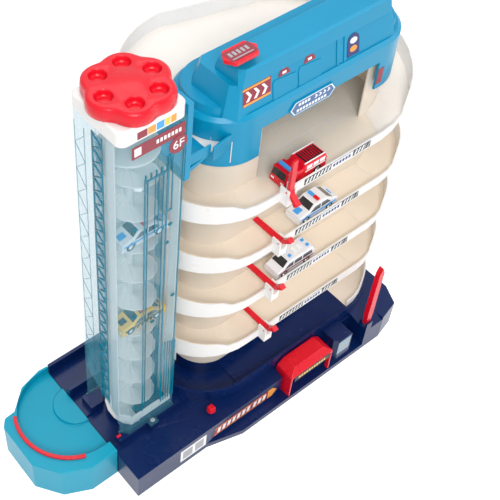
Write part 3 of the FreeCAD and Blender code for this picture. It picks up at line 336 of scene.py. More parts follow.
def knobRing(bm, middle, level, inset):  # one lobed outline
    made = bmesh.ops.create_circle(bm, cap_ends=False, segments=knob["outlineSteps"], radius=1.0)
    for vert in made["verts"]:
        angle = math.atan2(vert.co.y, vert.co.x)
        wave = math.cos(knob["lobes"] / 2 * (angle - math.radians(knob["turn"])))
        bulge = knob["lobe"] * math.sqrt(wave * wave + knob["lobeRound"])  # broad lobes, narrow notches
        reach = knob["notch"] + bulge - inset
        vert.co = Vector((middle.x + reach * math.cos(angle), middle.y + reach * math.sin(angle), level)) * mm
    return {e for v in made["verts"] for e in v.link_edges}


def sinkHole(bm, centre, edges):  # rounded lip, steep wall, sunk ring and a slightly raised floor
    loop = list(edges)
    radius = knob["holeRadius"]
    for nextRadius, drop in knob["holeRings"]:
        grown = bmesh.ops.extrude_edge_only(bm, edges=loop)["geom"]
        verts = {g for g in grown if isinstance(g, bmesh.types.BMVert)}
        loop = [g for g in grown if isinstance(g, bmesh.types.BMEdge) and verts.issuperset(g.verts)]
        for vert in verts:
            out = (vert.co - centre) * (nextRadius / radius)
            vert.co = centre + Vector((out.x, out.y, -drop * mm))
        radius = nextRadius
    bmesh.ops.edgeloop_fill(bm, edges=loop)


def makeKnob():
    bm = bmesh.new()
    low, high = boxOf("lift_cap")
    middle = (low + high) / 2
    foot, head = (corner.z for corner in boxOf("lift_knob"))
    levels = [(foot + rise, inset) for rise, inset in knob["lower"]]
    levels += [(head - drop, inset) for drop, inset in knob["upper"]]
    rings = [knobRing(bm, middle, level, inset) for level, inset in levels]
    for lower, upper in zip(rings, rings[1:]):
        bmesh.ops.bridge_loops(bm, edges=list(lower | upper))
    bmesh.ops.edgeloop_fill(bm, edges=list(rings[0]))
    top = set(rings[-1])
    holes = []
    for k in range(knob["lobes"]):
        angle = math.radians(knob["turn"]) + math.tau * k / knob["lobes"]
        reach = Vector((math.cos(angle), math.sin(angle), 0)) * knob["holeReach"]
        centre = Vector((middle.x + reach.x, middle.y + reach.y, head)) * mm
        made = bmesh.ops.create_circle(bm, cap_ends=False, segments=knob["holeSteps"],
                                       radius=knob["holeRadius"] * mm, matrix=Matrix.Translation(centre))
        edges = {e for v in made["verts"] for e in v.link_edges}
        holes.append((centre, edges))
        top |= edges
    bmesh.ops.triangle_fill(bm, use_beauty=True, use_dissolve=False, edges=list(top), normal=(0, 0, 1))
    for centre, edges in holes:
        sinkHole(bm, centre, edges)
    for face in bm.faces:
        face.smooth = True
    bmesh.ops.recalc_face_normals(bm, faces=bm.faces[:])
    bm.normal_update()
    for edge in bm.edges:
        if len(edge.link_faces) == 2:
            edge.smooth = edge.calc_face_angle(0) < math.radians(knob["sharpAngle"])
    piece = addPiece("knobHead", bm, bodyOf["lift_knob"], ["red"])
    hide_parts("lift_knob")


makeKnob()
print("stage: knob")


# labels on the front rims: pale strip, dark blocks with slanting bars, a middle block with plain marks
rimLabel = {"left": 56, "right": 172, "face": -111.5, "rise": 95.4, "height": 10.2, "thick": 0.25,
            "blockStart": 46, "blockWidth": 38, "marks": 6, "markStep": 5.4, "markWidth": 3.6, "barStep": 6.2,
            "barWidth": 2.6, "barLean": 2.8}


def makeRimLabel(floor):
    bm = bmesh.new()
    low = boxOf("deck_%df" % floor)[0].z + rimLabel["rise"]
    high = low + rimLabel["height"]
    y, thick, left = rimLabel["face"], rimLabel["thick"], rimLabel["left"]
    block = left + rimLabel["blockStart"]
    blockEnd = block + rimLabel["blockWidth"]
    addBlock(bm, (left, y - thick, low), (rimLabel["right"], y, high), 1)
    addBlock(bm, (block, y - 2 * thick, low + 0.4), (blockEnd, y - thick, high - 0.4), 0)
    for k in range(rimLabel["marks"]):
        x = block + 3 + k * rimLabel["markStep"]
        addBlock(bm, (x, y - 3 * thick, low + 2.6), (x + rimLabel["markWidth"], y - 2 * thick, high - 2.6), 2)
    for start, count, kind in ((left + 2, 7, 0), (blockEnd + 3, 3, 0), (blockEnd + 20, 2, 3)):
        for k in range(count):
            x, wide, lean = start + k * rimLabel["barStep"], rimLabel["barWidth"], rimLabel["barLean"]
            frontPlate(bm, [(x, low + 1.2), (x + wide, low + 1.2), (x + wide + lean, high - 1.2),
                            (x + lean, high - 1.2)], y - thick, thick, kind)
    addPiece("rimLabel%dF" % floor, bm, "garage", ["label", "black", "labelNavy", "grey"])


for floor in rampFloors:
    makeRimLabel(floor)


# the rail that carries the bridge's edge on to the leg, and the slit in the leg
bridgeGuard = {"outline": ((-64.6, -73.6), (-64.6, -71.2), (-37.4, -66.3), (-33.8, -68.9)),
               "foot": 531, "height": 21, "slit": ((-33.2, -68.75), (-32.2, -69.25)), "slitFoot": 507,
               "slitHead": 540, "roundEdge": 0.5}


def makeBridgeGuard():
    bm = bmesh.new()
    outline = [(x, y, bridgeGuard["foot"]) for x, y in bridgeGuard["outline"]]
    addPlate(bm, outline, (0, 0, bridgeGuard["height"]), 0)
    bmesh.ops.bevel(bm, geom=bm.edges[:], offset=bridgeGuard["roundEdge"] * mm, affect="EDGES", segments=2,
                    profile=0.5, material=-1)
    (leftX, leftY), (rightX, rightY) = bridgeGuard["slit"]
    foot, head = bridgeGuard["slitFoot"], bridgeGuard["slitHead"]
    addPlate(bm, [(leftX, leftY, foot), (rightX, rightY, foot), (rightX, rightY, head), (leftX, leftY, head)],
             (-0.2, -0.4, 0), 1)
    addPiece("bridgeGuard", bm, "garage", ["teal", "shadedCream"])


# stickers and badges on the teal building
shopFront = {"foot": 570, "head": 612, "front": -70, "lean": 8}
chevrons = {"corners": ((-20, 583), (22, 583), (24, 606), (-18, 606)), "left": -19, "right": 22,
            "bands": ((583.5, 586), (603, 605.5)), "first": -15, "step": 12, "count": 3,
            "arrow": ((0, 588), (4, 588), (9, 594.5), (4, 601), (0, 601), (5, 594.5))}
plaque = {"left": 48, "right": 125, "foot": 536, "head": 558, "face": -76.1,
          # tip inset, shoulder inset, rim inset, lift off the wall, thickness and finish of each layer
          "layers": ((0, 8, 0, 0, 1.6, 0), (2, 9, 1.4, 1.6, 0.15, 1), (4, 10, 2.5, 1.6, 0.3, 2)),
          "markLift": 1.9,
          "arrow": ((0, 548.5), (2.6, 548.5), (5, 551), (2.6, 553.5), (0, 553.5), (2.4, 551)),
          "arrows": 4, "arrowStart": 88, "arrowStep": 7, "markStep": 5, "markWidth": 3.4, "markHeight": 4,
          "markRows": ((62, 4, 549.6), (60, 10, 541))}
badges = {"halfRounds": (44, 84), "halfRoundLevel": 598, "halfRoundRadius": 9, "signal": 156,
          "signalFoot": 575, "signalLevel": 594, "signalRadius": 10, "signalLamps": ((595, 1), (584, 3)),
          "lampAcross": 6, "lampUp": 4,
          "ribs": (128, 140), "ribWidth": 3, "ribFoot": 572, "ribHead": 611, "tiles": ((26, 62), (66, 102))}
roofPanel = {"low": (-29, -54), "high": (9, -36), "level": 643.9, "thick": 0.4, "marks": 5, "markStep": 6,
             "firstMark": -25, "markWidth": 3.5, "markFront": -47, "markBack": -40, "markThick": 0.2,
             "lineLow": (-26, -52), "lineHigh": (4, -50.5)}
legLabel = {"low": (204.5, -76.4, 508), "high": (214.5, -76.05, 533)}


def wallPlate(bm, outline, lift, thick, kind):  # a plate on the leaning shop front, from points across and up
    lean = shopFront["lean"] / (shopFront["head"] - shopFront["foot"])
    addPlate(bm, [(x, shopFront["front"] + lean * (z - shopFront["foot"]) - lift, z) for x, z in outline],
             (0, -thick, 0), kind)


def makeChevronSticker():
    bm = bmesh.new()
    wallPlate(bm, chevrons["corners"], 0.1, 0.3, 0)
    left, right = chevrons["left"], chevrons["right"]
    for foot, head in chevrons["bands"]:
        wallPlate(bm, [(left, foot), (right, foot), (right, head), (left, head)], 0.4, 0.2, 1)
    for k in range(chevrons["count"]):
        start = chevrons["first"] + k * chevrons["step"]
        wallPlate(bm, [(start + x, z) for x, z in chevrons["arrow"]], 0.4, 0.3, 2)
    addPiece("chevronSticker", bm, "garage", ["labelRed", "orange", "label"])


def makeBeamPlaque():  # long pointed plaque with arrows and plain marks
    bm = bmesh.new()
    left, right, middle = plaque["left"], plaque["right"], (plaque["foot"] + plaque["head"]) / 2
    for tip, shoulder, rim, lift, thick, kind in plaque["layers"]:
        foot, head = plaque["foot"] + rim, plaque["head"] - rim
        frontPlate(bm, [(left + tip, middle), (left + shoulder, foot), (right - shoulder, foot),
                        (right - tip, middle), (right - shoulder, head), (left + shoulder, head)],
                   plaque["face"] - lift, thick, kind)
    y = plaque["face"] - plaque["markLift"]
    for k in range(plaque["arrows"]):
        start = plaque["arrowStart"] + k * plaque["arrowStep"]
        frontPlate(bm, [(start + x, z) for x, z in plaque["arrow"]], y, 0.3, 1)
    for start, count, level in plaque["markRows"]:
        for k in range(count):
            x = start + k * plaque["markStep"]
            addBlock(bm, (x, y - 0.3, level), (x + plaque["markWidth"], y, level + plaque["markHeight"]), 1)
    addPiece("beamPlaque", bm, "garage", ["teal", "label", "labelBlue"])


def makeWallBadges():  # two half-round badges, a signal badge, upright ribs and raised tiles
    bm = bmesh.new()
    level, radius = badges["halfRoundLevel"], badges["halfRoundRadius"]
    for x in badges["halfRounds"]:
        wallPlate(bm, arcPoints(x, level, radius, radius, 8, math.pi), 0.1, 0.5, 0)
        mark = [(x - 3, level + 2), (x + 3, level + 2), (x + 3, level + 5), (x - 3, level + 5)]
        wallPlate(bm, mark, 0.6, 0.2, 1)
    x, radius, foot = badges["signal"], badges["signalRadius"], badges["signalFoot"]
    arch = arcPoints(x, badges["signalLevel"], radius, radius, 10, math.pi)
    wallPlate(bm, [(x + radius, foot)] + arch + [(x - radius, foot)], 0.1, 0.6, 2)
    for level, kind in badges["signalLamps"]:
        wallPlate(bm, arcPoints(x, level, badges["lampAcross"], badges["lampUp"], 14), 0.7, 0.2, kind)
    foot, head = badges["ribFoot"], badges["ribHead"]
    for left in badges["ribs"]:
        right = left + badges["ribWidth"]
        wallPlate(bm, [(left, foot), (right, foot), (right, head), (left, head)], 0, 1.2, 4)
    for left, right in badges["tiles"]:
        wallPlate(bm, [(left, 571), (right, 571), (right, 594), (left + 3, 597), (left, 594)], 0, 1.0, 4)
    addPiece("wallBadges", bm, "garage", ["labelRed", "label", "labelNavy", "orange", "teal"])


def makeRoofSignPanel():  # dark panel in the roof sign with pale marks
    bm = bmesh.new()
    level, top = roofPanel["level"], roofPanel["level"] + roofPanel["thick"]
    addBlock(bm, (*roofPanel["low"], level), (*roofPanel["high"], top), 0)
    markTop = top + roofPanel["markThick"]
    for k in range(roofPanel["marks"]):
        x = roofPanel["firstMark"] + k * roofPanel["markStep"]
        addBlock(bm, (x, roofPanel["markFront"], top),
                 (x + roofPanel["markWidth"], roofPanel["markBack"], markTop), 1)
    addBlock(bm, (*roofPanel["lineLow"], top), (*roofPanel["lineHigh"], markTop), 1)
    addPiece("roofSignPanel", bm, "garage", ["labelRed", "grey"])


def makeLegLabel():  # dark label on the building's right leg
    bm = bmesh.new()
    addBlock(bm, legLabel["low"], legLabel["high"], 0)
    addPiece("legLabel", bm, "garage", ["labelRed"])


# shallow lines of the tiled floor in the bay
bay = {"level": 448.0, "thick": 0.15, "width": 1.0, "front": -64, "back": 28, "right": 208, "first": 22,
       "step": 35, "count": 6, "crossLines": (-45, -16, 13)}


def makeBayLines():
    bm = bmesh.new()
    level, half = bay["level"], bay["width"] / 2
    for k in range(bay["count"]):
        x = bay["first"] + k * bay["step"]
        addBlock(bm, (x - half, bay["front"], level), (x + half, bay["back"], level + bay["thick"]), 0)
    for y in bay["crossLines"]:
        addBlock(bm, (0, y - half, level), (bay["right"], y + half, level + bay["thick"]), 0)
    addPiece("bayLines", bm, "garage", ["white"])


makeBridgeGuard()
makeChevronSticker()
makeBeamPlaque()
makeWallBadges()
makeRoofSignPanel()
makeLegLabel()
makeBayLines()


# tower: picture strip left as plain colour fields, wine band and a plaque with the floor number
capCorner = boxOf("lift_cap")[0]
towerLabel = {"face": capCorner.y, "strip": (-177, -124), "stripFoot": 629.6, "stripHead": 641.4,
              "fields": ((-176, -163, 1), (-162, -152, 2), (-151, -141, 3), (-140, -133, 4), (-132, -125, 2)),
              "band": (-182, -111), "bandFoot": 604, "bandHead": 621, "marks": 7, "firstMark": -150,
              "markStep": 5, "markWidth": 3.2, "block": (-179, -170),
              "number": "6F", "numberSize": 16.5, "numberThick": 0.2, "disc": (-120, 593), "discRadius": 12.5}


def makeTowerLabel():
    bm = bmesh.new()
    y, foot, head = towerLabel["face"], towerLabel["stripFoot"], towerLabel["stripHead"]
    addBlock(bm, (towerLabel["strip"][0], y - 0.3, foot), (towerLabel["strip"][1], y, head), 0)
    for left, right, kind in towerLabel["fields"]:
        addBlock(bm, (left, y - 0.5, foot + 1), (right, y - 0.3, head - 1), kind)
    foot, head = towerLabel["bandFoot"], towerLabel["bandHead"]
    addBlock(bm, (towerLabel["band"][0], y + 0.6, foot), (towerLabel["band"][1], y + 1.0, head), 1)
    for k in range(towerLabel["marks"]):
        x = towerLabel["firstMark"] + k * towerLabel["markStep"]
        addBlock(bm, (x, y + 0.4, foot + 6), (x + towerLabel["markWidth"], y + 0.6, foot + 11.5), 0)
    addBlock(bm, (towerLabel["block"][0], y + 0.4, foot + 3), (towerLabel["block"][1], y + 0.6, head - 3), 0)
    radius = towerLabel["discRadius"]
    frontPlate(bm, arcPoints(*towerLabel["disc"], radius, radius, 24), y + 0.6, 0.5, 1)
    addPiece("towerLabel", bm, "garage", ["label", "labelRed", "orange", "skyBlue", "yellow"])


def makeFloorNumber():
    curve = bpy.data.curves.new("floorNumber", "FONT")
    curve.body = towerLabel["number"]
    curve.size = towerLabel["numberSize"] * mm
    curve.extrude = towerLabel["numberThick"] * mm
    curve.align_x = "CENTER"
    curve.align_y = "CENTER"
    holder = bpy.data.objects.new("floorNumber", curve)
    scene.collection.objects.link(holder)
    bpy.context.view_layer.update()
    mesh = bpy.data.meshes.new_from_object(holder)
    bpy.data.objects.remove(holder)
    x, z = towerLabel["disc"]
    place = Vector((x, towerLabel["face"] - 0.1, z)) * mm
    mesh.transform(Matrix.Translation(place) @ Matrix.Rotation(math.radians(90), 4, "X"))
    mesh.materials.append(finish["label"])
    piece = bpy.data.objects.new("floorNumber6F", mesh)
    scene.collection.objects.link(piece)
    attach(piece, "garage")


# the dark lattice strip and a fainter, wider one on the tower's left side
capOverhang = 1  # how far the cap stands out over the shell
shell = {"left": capCorner.x + capOverhang, "front": capCorner.y + capOverhang}
lattice = {"foot": 112, "head": 620, "near": -44, "far": -27, "step": 11, "edge": 0.8, "out": 1.3, "rod": 1.0}
paleLattice = {"foot": 150, "head": 612, "near": -12, "far": 6, "first": 160, "step": 40,
               "count": 11, "rod": 0.45}


def makeTrussRibs():
    bm = bmesh.new()
    x, foot, head = shell["left"], lattice["foot"], lattice["head"]
    near, far, step, edge = lattice["near"], lattice["far"], lattice["step"], lattice["edge"]
    for y in (near, far):
        addBlock(bm, (x - lattice["out"], y - edge, foot), (x, y + edge, head), 0)
    for k in range((head - foot) // step):  # zigzag
        start, end = (near, far) if k % 2 else (far, near)
        level = foot + k * step
        addRod(bm, (x - 0.7, start, level), (x - 0.7, end, level + step), lattice["rod"], 0, 6)
    addBlock(bm, (x - 0.4, near, foot), (x - 0.1, far, head), 1)
    near, far, half = paleLattice["near"], paleLattice["far"], paleLattice["step"] / 2
    for y in (near, far):
        addBlock(bm, (x - 0.8, y - 0.4, paleLattice["foot"]), (x, y + 0.4, paleLattice["head"]), 1)
    for k in range(paleLattice["count"]):
        level = paleLattice["first"] + k * paleLattice["step"]
        addRod(bm, (x - 0.4, near, level), (x - 0.4, far, level + half), paleLattice["rod"], 1, 6)
        addRod(bm, (x - 0.4, far, level + half), (x - 0.4, near, level + 2 * half), paleLattice["rod"], 1, 6)
    addPiece("trussRibs", bm, "garage", ["clearRib", "clearPale"])


# rails, film, hook slot, combs and eyelets on the tower's front
frontRib = {
    "out": 1.2,
    "rails": ((-164.4, 100, 566, 0.9), (-160.6, 112, 562, 0.5), (-138.6, 112, 562, 0.5),
              (-133, 100, 566, 0.9), (-150, 470, 562, 0.4), (-145, 470, 562, 0.4), (-131.5, 495, 582, 0.6),
              (-126.0, 495, 582, 0.6), (-112, 92, 590, 0.5)),  # middle, foot, head and half width
    "film": (-163.5, -134, 112, 561),  # left, right, foot and head, as for the cross bars
    "crossBars": ((-131.5, -126, 581, 583.5), (-131.5, -126, 494, 496), (-164.4, -133, 560, 562.5)),
    "teeth": 5, "firstTooth": -163, "toothStep": 7.3,
    "comb": 6, "firstComb": -131, "combStep": 4.2, "combFoot": 92, "combHead": 236, "combFall": 2,
    "eyelets": ((-127, 470), (-178, 494), (-131, 440), (-178, 120), (-150, 300), (-118, 330), (-178, 330)),
    "eyeletRadius": 3.2, "eyeletDepth": 1.6, "eyeletWall": 0.9, "eyeletSquash": 0.7}


def makeFrontRibs():
    bm = bmesh.new()
    y, out = shell["front"], frontRib["out"]
    for x, foot, head, half in frontRib["rails"]:
        addBlock(bm, (x - half, y - out, foot), (x + half, y, head), 0)
    left, right, foot, head = frontRib["film"]
    addBlock(bm, (left, y - 0.3, foot), (right, y, head), 1)
    for left, right, foot, head in frontRib["crossBars"]:
        addBlock(bm, (left, y - out, foot), (right, y, head), 0)
    for k in range(frontRib["teeth"]):  # along the slot's upper edge
        x = frontRib["firstTooth"] + k * frontRib["toothStep"]
        addBlock(bm, (x - 0.7, y - out, 562), (x + 0.7, y + 1, 570), 0)
    for k in range(frontRib["comb"]):  # each bar a little shorter
        x = frontRib["firstComb"] + k * frontRib["combStep"]
        head = frontRib["combHead"] - k * frontRib["combFall"]
        addBlock(bm, (x - 0.8, y - 1.0, frontRib["combFoot"]), (x + 0.8, y, head), 0)
    radius = frontRib["eyeletRadius"] * mm
    turn = Matrix.Rotation(math.radians(90), 4, "X") @ Matrix.Diagonal((1, frontRib["eyeletSquash"], 1, 1))
    for x, z in frontRib["eyelets"]:
        spot = Matrix.Translation(Vector((x, y - 0.6, z)) * mm)
        made = bmesh.ops.create_cone(bm, cap_ends=False, segments=20, radius1=radius, radius2=radius,
                                     depth=frontRib["eyeletDepth"] * mm, matrix=spot @ turn)
        walls = {f for v in made["verts"] for f in v.link_faces}
        bmesh.ops.solidify(bm, geom=list(walls), thickness=frontRib["eyeletWall"] * mm)
    addPiece("frontRibs", bm, "garage", ["clearRib", "clearFilm"])


makeTowerLabel()
makeFloorNumber()
makeTrussRibs()
makeFrontRibs()
print("stage: tower")


# stickers on the base
tileSticker = {"face": -136, "left": -140, "right": -92, "foot": 12, "head": 40,
               "fields": ((-136, -118, 16, 36), (-113, -97, 16, 36))}
boothWindow = {"face": -148, "left": 164, "right": 190, "foot": 30, "head": 59,
               "panes": ((167, 175, 34, 44), (178, 187, 34, 44), (167, 175, 47, 56), (178, 187, 47, 56))}
frontSign = {"face": -136, "foot": 18.5, "head": 39, "left": -79, "right": 28, "lean": 5,
             "arrow": ((29.5, 18.5), (39, 18.5), (48, 29), (39, 39), (29.5, 39)),
             "bandLeft": -76, "bandRight": 25, "bands": (20.2, 36.2), "bandHeight": 1.2,
             "marks": 10, "firstMark": -71, "markStep": 9.6, "wordGap": 3, "firstWord": 7,
             "mark": ((0, 23.5), (5.6, 23.5), (7.6, 34.5), (2, 34.5))}


def makeBaseStickers():
    bm = bmesh.new()
    y = tileSticker["face"]
    addBlock(bm, (tileSticker["left"], y - 0.4, tileSticker["foot"]),
             (tileSticker["right"], y, tileSticker["head"]), 0)
    for left, right, foot, head in tileSticker["fields"]:
        addBlock(bm, (left, y - 0.6, foot), (right, y - 0.4, head), 2)
    y = boothWindow["face"]
    addBlock(bm, (boothWindow["left"], y - 0.35, boothWindow["foot"]),
             (boothWindow["right"], y, boothWindow["head"]), 3)
    for left, right, foot, head in boothWindow["panes"]:
        addBlock(bm, (left, y - 0.5, foot), (right, y - 0.35, head), 2)
    addPiece("baseStickers", bm, "garage", ["label", "labelRed", "grey", "paleBlue"])


def makeFrontSign():  # long red sign with plain upright marks and an arrowhead
    bm = bmesh.new()
    y, left, right = frontSign["face"], frontSign["left"], frontSign["right"]
    foot, head = frontSign["foot"], frontSign["head"]
    frontPlate(bm, [(left, foot), (right, foot), (right, head), (left + frontSign["lean"], head)], y, 0.4, 1)
    frontPlate(bm, frontSign["arrow"], y, 0.5, 2)
    left, right = frontSign["bandLeft"], frontSign["bandRight"]
    for foot in frontSign["bands"]:
        head = foot + frontSign["bandHeight"]
        frontPlate(bm, [(left, foot), (right, foot), (right, head), (left, head)], y - 0.4, 0.2, 2)
    for k in range(frontSign["marks"]):
        gap = frontSign["wordGap"] if k >= frontSign["firstWord"] else 0
        start = frontSign["firstMark"] + k * frontSign["markStep"] + gap
        frontPlate(bm, [(start + x, z) for x, z in frontSign["mark"]], y - 0.4, 0.3, 0)
    addPiece("frontSign", bm, "garage", ["label", "labelRed", "orange", "labelNavy"])


# the dark strip along the canopy's front, and the button's raised square head
canopyBand = {"face": -150.5, "left": 69, "right": 142, "foot": 45, "head": 57, "marks": 11, "firstMark": 77,
              "markStep": 5.2, "markWidth": 3.6}
buttonHead = {"low": (-71, -119.5, 55), "high": (-61, -109.5, 61.5), "roundEdge": 1.6}


def makeCanopyBand():
    bm = bmesh.new()
    y, foot, head = canopyBand["face"], canopyBand["foot"], canopyBand["head"]
    addBlock(bm, (canopyBand["left"], y - 0.4, foot), (canopyBand["right"], y, head), 0)
    for k in range(canopyBand["marks"]):
        x = canopyBand["firstMark"] + k * canopyBand["markStep"]
        addBlock(bm, (x, y - 0.6, foot + 3.6), (x + canopyBand["markWidth"], y - 0.4, head - 3.6), 1)
    addPiece("canopyBand", bm, "garage", ["black", "yellow"])


def makeButtonHead():
    bm = bmesh.new()
    addBlock(bm, buttonHead["low"], buttonHead["high"], 0)
    bmesh.ops.bevel(bm, geom=bm.edges[:], offset=buttonHead["roundEdge"] * mm, affect="EDGES", segments=3,
                    profile=0.5, material=-1)
    piece = addPiece("buttonHead", bm, "eject_button", ["red"])
    for face in piece.data.polygons:
        face.use_smooth = True


makeBaseStickers()
makeFrontSign()
makeCanopyBand()
makeButtonHead()
print("stage: base")


# toy cars: windows, stripes, lamps and hubs; places are worked out from the frame
cars = {"fire_truck": {"kind": "truck", "trim": "label"},
        "patrol_sedan": {"kind": "sedan", "trim": "skyBlue"},
        "rescue_van": {"kind": "van", "trim": "labelRed"}, "lift_sedan": {"kind": "sedan", "trim": "skyBlue"},
        "lift_taxi": {"kind": "sedan", "trim": "black"}}
sideTrim = {  # side windows and stripe, along the car and up from the road
    "sedan": {"panes": (((-15.5, 15), (-8, 23), (2.5, 23.4), (2.5, 15)),
                        ((4.5, 15), (4.5, 23.4), (14, 23), (21.5, 15.6))),
              "stripe": ((-31, 9.6), (31, 9.6), (31, 12.2), (-31, 12.2))},
    "van": {"panes": (((-22, 15), (-13.5, 22.6), (-6, 22.6), (-6, 15)),
                      ((-4, 15), (-4, 22.6), (10, 22.6), (10, 15)),
                      ((12, 15), (12, 22.6), (28, 22.6), (30, 15))),
            "stripe": ((-32, 9.8), (33, 9.8), (33, 12), (-32, 12))},
    "truck": {"panes": (((-31.5, 15), (-30, 23), (-24.5, 23), (-24.5, 15)),
                        ((-23, 15), (-23, 23), (-17.5, 23), (-16.5, 15))),
              "stripe": ((-1, 13), (33, 13), (33, 15), (-1, 15))}}
carTrim = {"gap": 0.02, "skin": 0.25, "paneThick": 0.3, "paneTaper": 1.5, "roundEdge": 0.08, "lampReach": 8.5,
           "lampHalf": 2.6, "lampFoot": 8, "lampHead": 11}
hub = {"rim": 3.6, "face": 3.0, "thick": 0.5, "spokes": 5, "spokeReach": 1.9, "spoke": (2.6, 0.3, 0.9)}
window, trim, lamp, red, pale, blue = range(6)  # slots of a car's trim


def carPlate(bm, at, points, push, kind):  # points start from the road below a car's middle
    addPlate(bm, [at + Vector(point) for point in points], push, kind)


def carBlock(bm, at, low, high, kind):
    addBlock(bm, at + Vector(low), at + Vector(high), kind)


def slopePane(bm, at, low, high, width, inset=0.12):  # a window on a slope between two points of the outline
    start, end = Vector((low[0], 0, low[1])), Vector((high[0], 0, high[1]))
    run = end - start
    out = Vector((-run.z, 0, run.x)).normalized()
    if out.z < 0:
        out = -out
    foot, head = start + run * inset + out * 0.05, start + run * (1 - inset) + out * 0.05
    narrow = width - carTrim["paneTaper"]
    corners = [(foot.x, -width, foot.z), (head.x, -narrow, head.z), (head.x, narrow, head.z),
               (foot.x, width, foot.z)]
    carPlate(bm, at, corners, out * carTrim["paneThick"], window)


def addSideTrim(bm, at, side, kind):
    for way in (-1, 1):
        y, push = way * (side + carTrim["gap"]), (0, way * carTrim["skin"], 0)
        for pane in sideTrim[kind]["panes"]:
            carPlate(bm, at, [(x, y, z) for x, z in pane], push, window)
        carPlate(bm, at, [(x, y, z) for x, z in sideTrim[kind]["stripe"]], push, trim)
        if kind == "truck":  # equipment shutters
            for x in (1, 12, 23):
                carPlate(bm, at, [(x, y, 16.5), (x + 9, y, 16.5), (x + 9, y, 22.5), (x, y, 22.5)], push, pale)


def addTaxiStripes(bm, at, side):  # slanting stripes on the doors and bars on the roof
    for way in (-1, 1):
        y = way * (side + 0.3)
        for k in range(4):
            x = -13 + k * 7
            corners = [(x, y, 5), (x + 3.4, y, 5), (x + 7, y, 14), (x + 3.6, y, 14)]
            carPlate(bm, at, corners, (0, way * 0.2, 0), window)
    for k in range(3):
        carBlock(bm, at, (-4 + k * 5, -9, 26), (-2 + k * 5, 9, 26.3), window)


def addSedanTrim(bm, at, side, isTaxi):
    slopePane(bm, at, (-18, 18), (-7, 26), 11)
    slopePane(bm, at, (27, 18), (15, 26), 11)
    for y, tint in ((-5, red), (5, blue)):  # light bar
        carBlock(bm, at, (-1, y - 4.2, 25.9), (3.4, y + 4.2, 28.6), tint)
    if isTaxi:
        addTaxiStripes(bm, at, side)
    for rear, front, level in ((-31, -21, 15.9), (23, 31, 16)):  # flashes on bonnet and boot
        carPlate(bm, at, [(rear, -4.5, level - 0.6), (front, -4.5, level + 1.4), (front, 4.5, level + 1.4),
                          (rear, 4.5, level - 0.6)], (0, 0, 0.3), trim)


def addVanTrim(bm, at, half):
    slopePane(bm, at, (-25, 17), (-13, 26), 11)
    carBlock(bm, at, (half - 0.05, -9, 14), (half + 0.2, 9, 20), window)
    for x in (-9, 24):  # roof lights
        for y in (-7, 3):
            carBlock(bm, at, (x, y, 25.9), (x + 4, y + 4, 28.2), blue)
    for x in (2, 12):  # roof hatches
        carBlock(bm, at, (x, -4, 25.9), (x + 5, 4, 26.8), pale)


def addTruckTrim(bm, at):
    slopePane(bm, at, (-35, 14), (-31, 26), 11.5, 0.1)
    carBlock(bm, at, (-26, -10, 25.9), (-21, 10, 28.4), blue)
    carBlock(bm, at, (2, -9, 24.9), (31, 9, 25.6), window)
    for k in range(7):  # louvres
        x = 4.5 + k * 3.7
        carBlock(bm, at, (x, -8, 25.5), (x + 1.2, 8, 26.3), red)
    for y in (-11, 11):  # roof rails
        addRod(bm, at + Vector((-2, y, 26.4)), at + Vector((33, y, 26.4)), 0.8, pale, 8)


def makeCarTrim(name, facts):
    low, high = boxOf(name)
    at = Vector(((low.x + high.x) / 2, (low.y + high.y) / 2, boxOf(name + "_front_wheels")[0].z))
    half, side = (high.x - low.x) / 2, (high.y - low.y) / 2
    bm = bmesh.new()
    addSideTrim(bm, at, side, facts["kind"])
    if facts["kind"] == "sedan":
        addSedanTrim(bm, at, side, name == "lift_taxi")
    elif facts["kind"] == "van":
        addVanTrim(bm, at, half)
    else:
        addTruckTrim(bm, at)
    foot, head, wide = carTrim["lampFoot"], carTrim["lampHead"], carTrim["lampHalf"]
    for y in (-carTrim["lampReach"], carTrim["lampReach"]):  # head and tail lamps
        carBlock(bm, at, (-half - 0.3, y - wide, foot), (-half + 0.2, y + wide, head), lamp)
        carBlock(bm, at, (half - 0.2, y - wide, foot), (half + 0.3, y + wide, head), red)
    bmesh.ops.bevel(bm, geom=bm.edges[:], offset=carTrim["roundEdge"] * mm, affect="EDGES", segments=1,
                    profile=0.5, material=-1)
    kinds = ["window", facts["trim"], "label", "red", "label", "skyBlue"]
    addPiece(name + "Trim", bm, name, kinds)


def makeHubs(name, end):  # a disc with spokes on the outside of each wheel
    bm = bmesh.new()
    wheels = "%s_%s_wheels" % (name, end)
    low, high = boxOf(wheels)
    length, thick, wide = (size * mm for size in hub["spoke"])
    for way, y in ((-1, low.y), (1, high.y)):
        spot = Vector(((low.x + high.x) / 2, y, (low.z + high.z) / 2)) * mm
        turn = Matrix.Rotation(math.radians(90 * way), 4, "X")
        bmesh.ops.create_cone(bm, cap_ends=True, segments=20, radius1=hub["rim"] * mm,
                              radius2=hub["face"] * mm, depth=hub["thick"] * mm,
                              matrix=Matrix.Translation(spot) @ turn)
        for k in range(hub["spokes"]):
            angle = math.tau * k / hub["spokes"]
            reach = Vector((math.cos(angle), 0, math.sin(angle))) * hub["spokeReach"] * mm
            place = Matrix.Translation(spot + reach + Vector((0, way * thick, 0)))
            bmesh.ops.create_cube(bm, size=1, matrix=place @ Matrix.Rotation(-angle, 4, "Y")
                                  @ Matrix.Diagonal((length, thick, wide, 1)))
    addPiece("%sHubs%s" % (name, end), bm, wheels, ["steel"])


for name, facts in cars.items():
    makeCarTrim(name, facts)
    makeHubs(name, "front")
    makeHubs(name, "rear")
print("stage: cars")


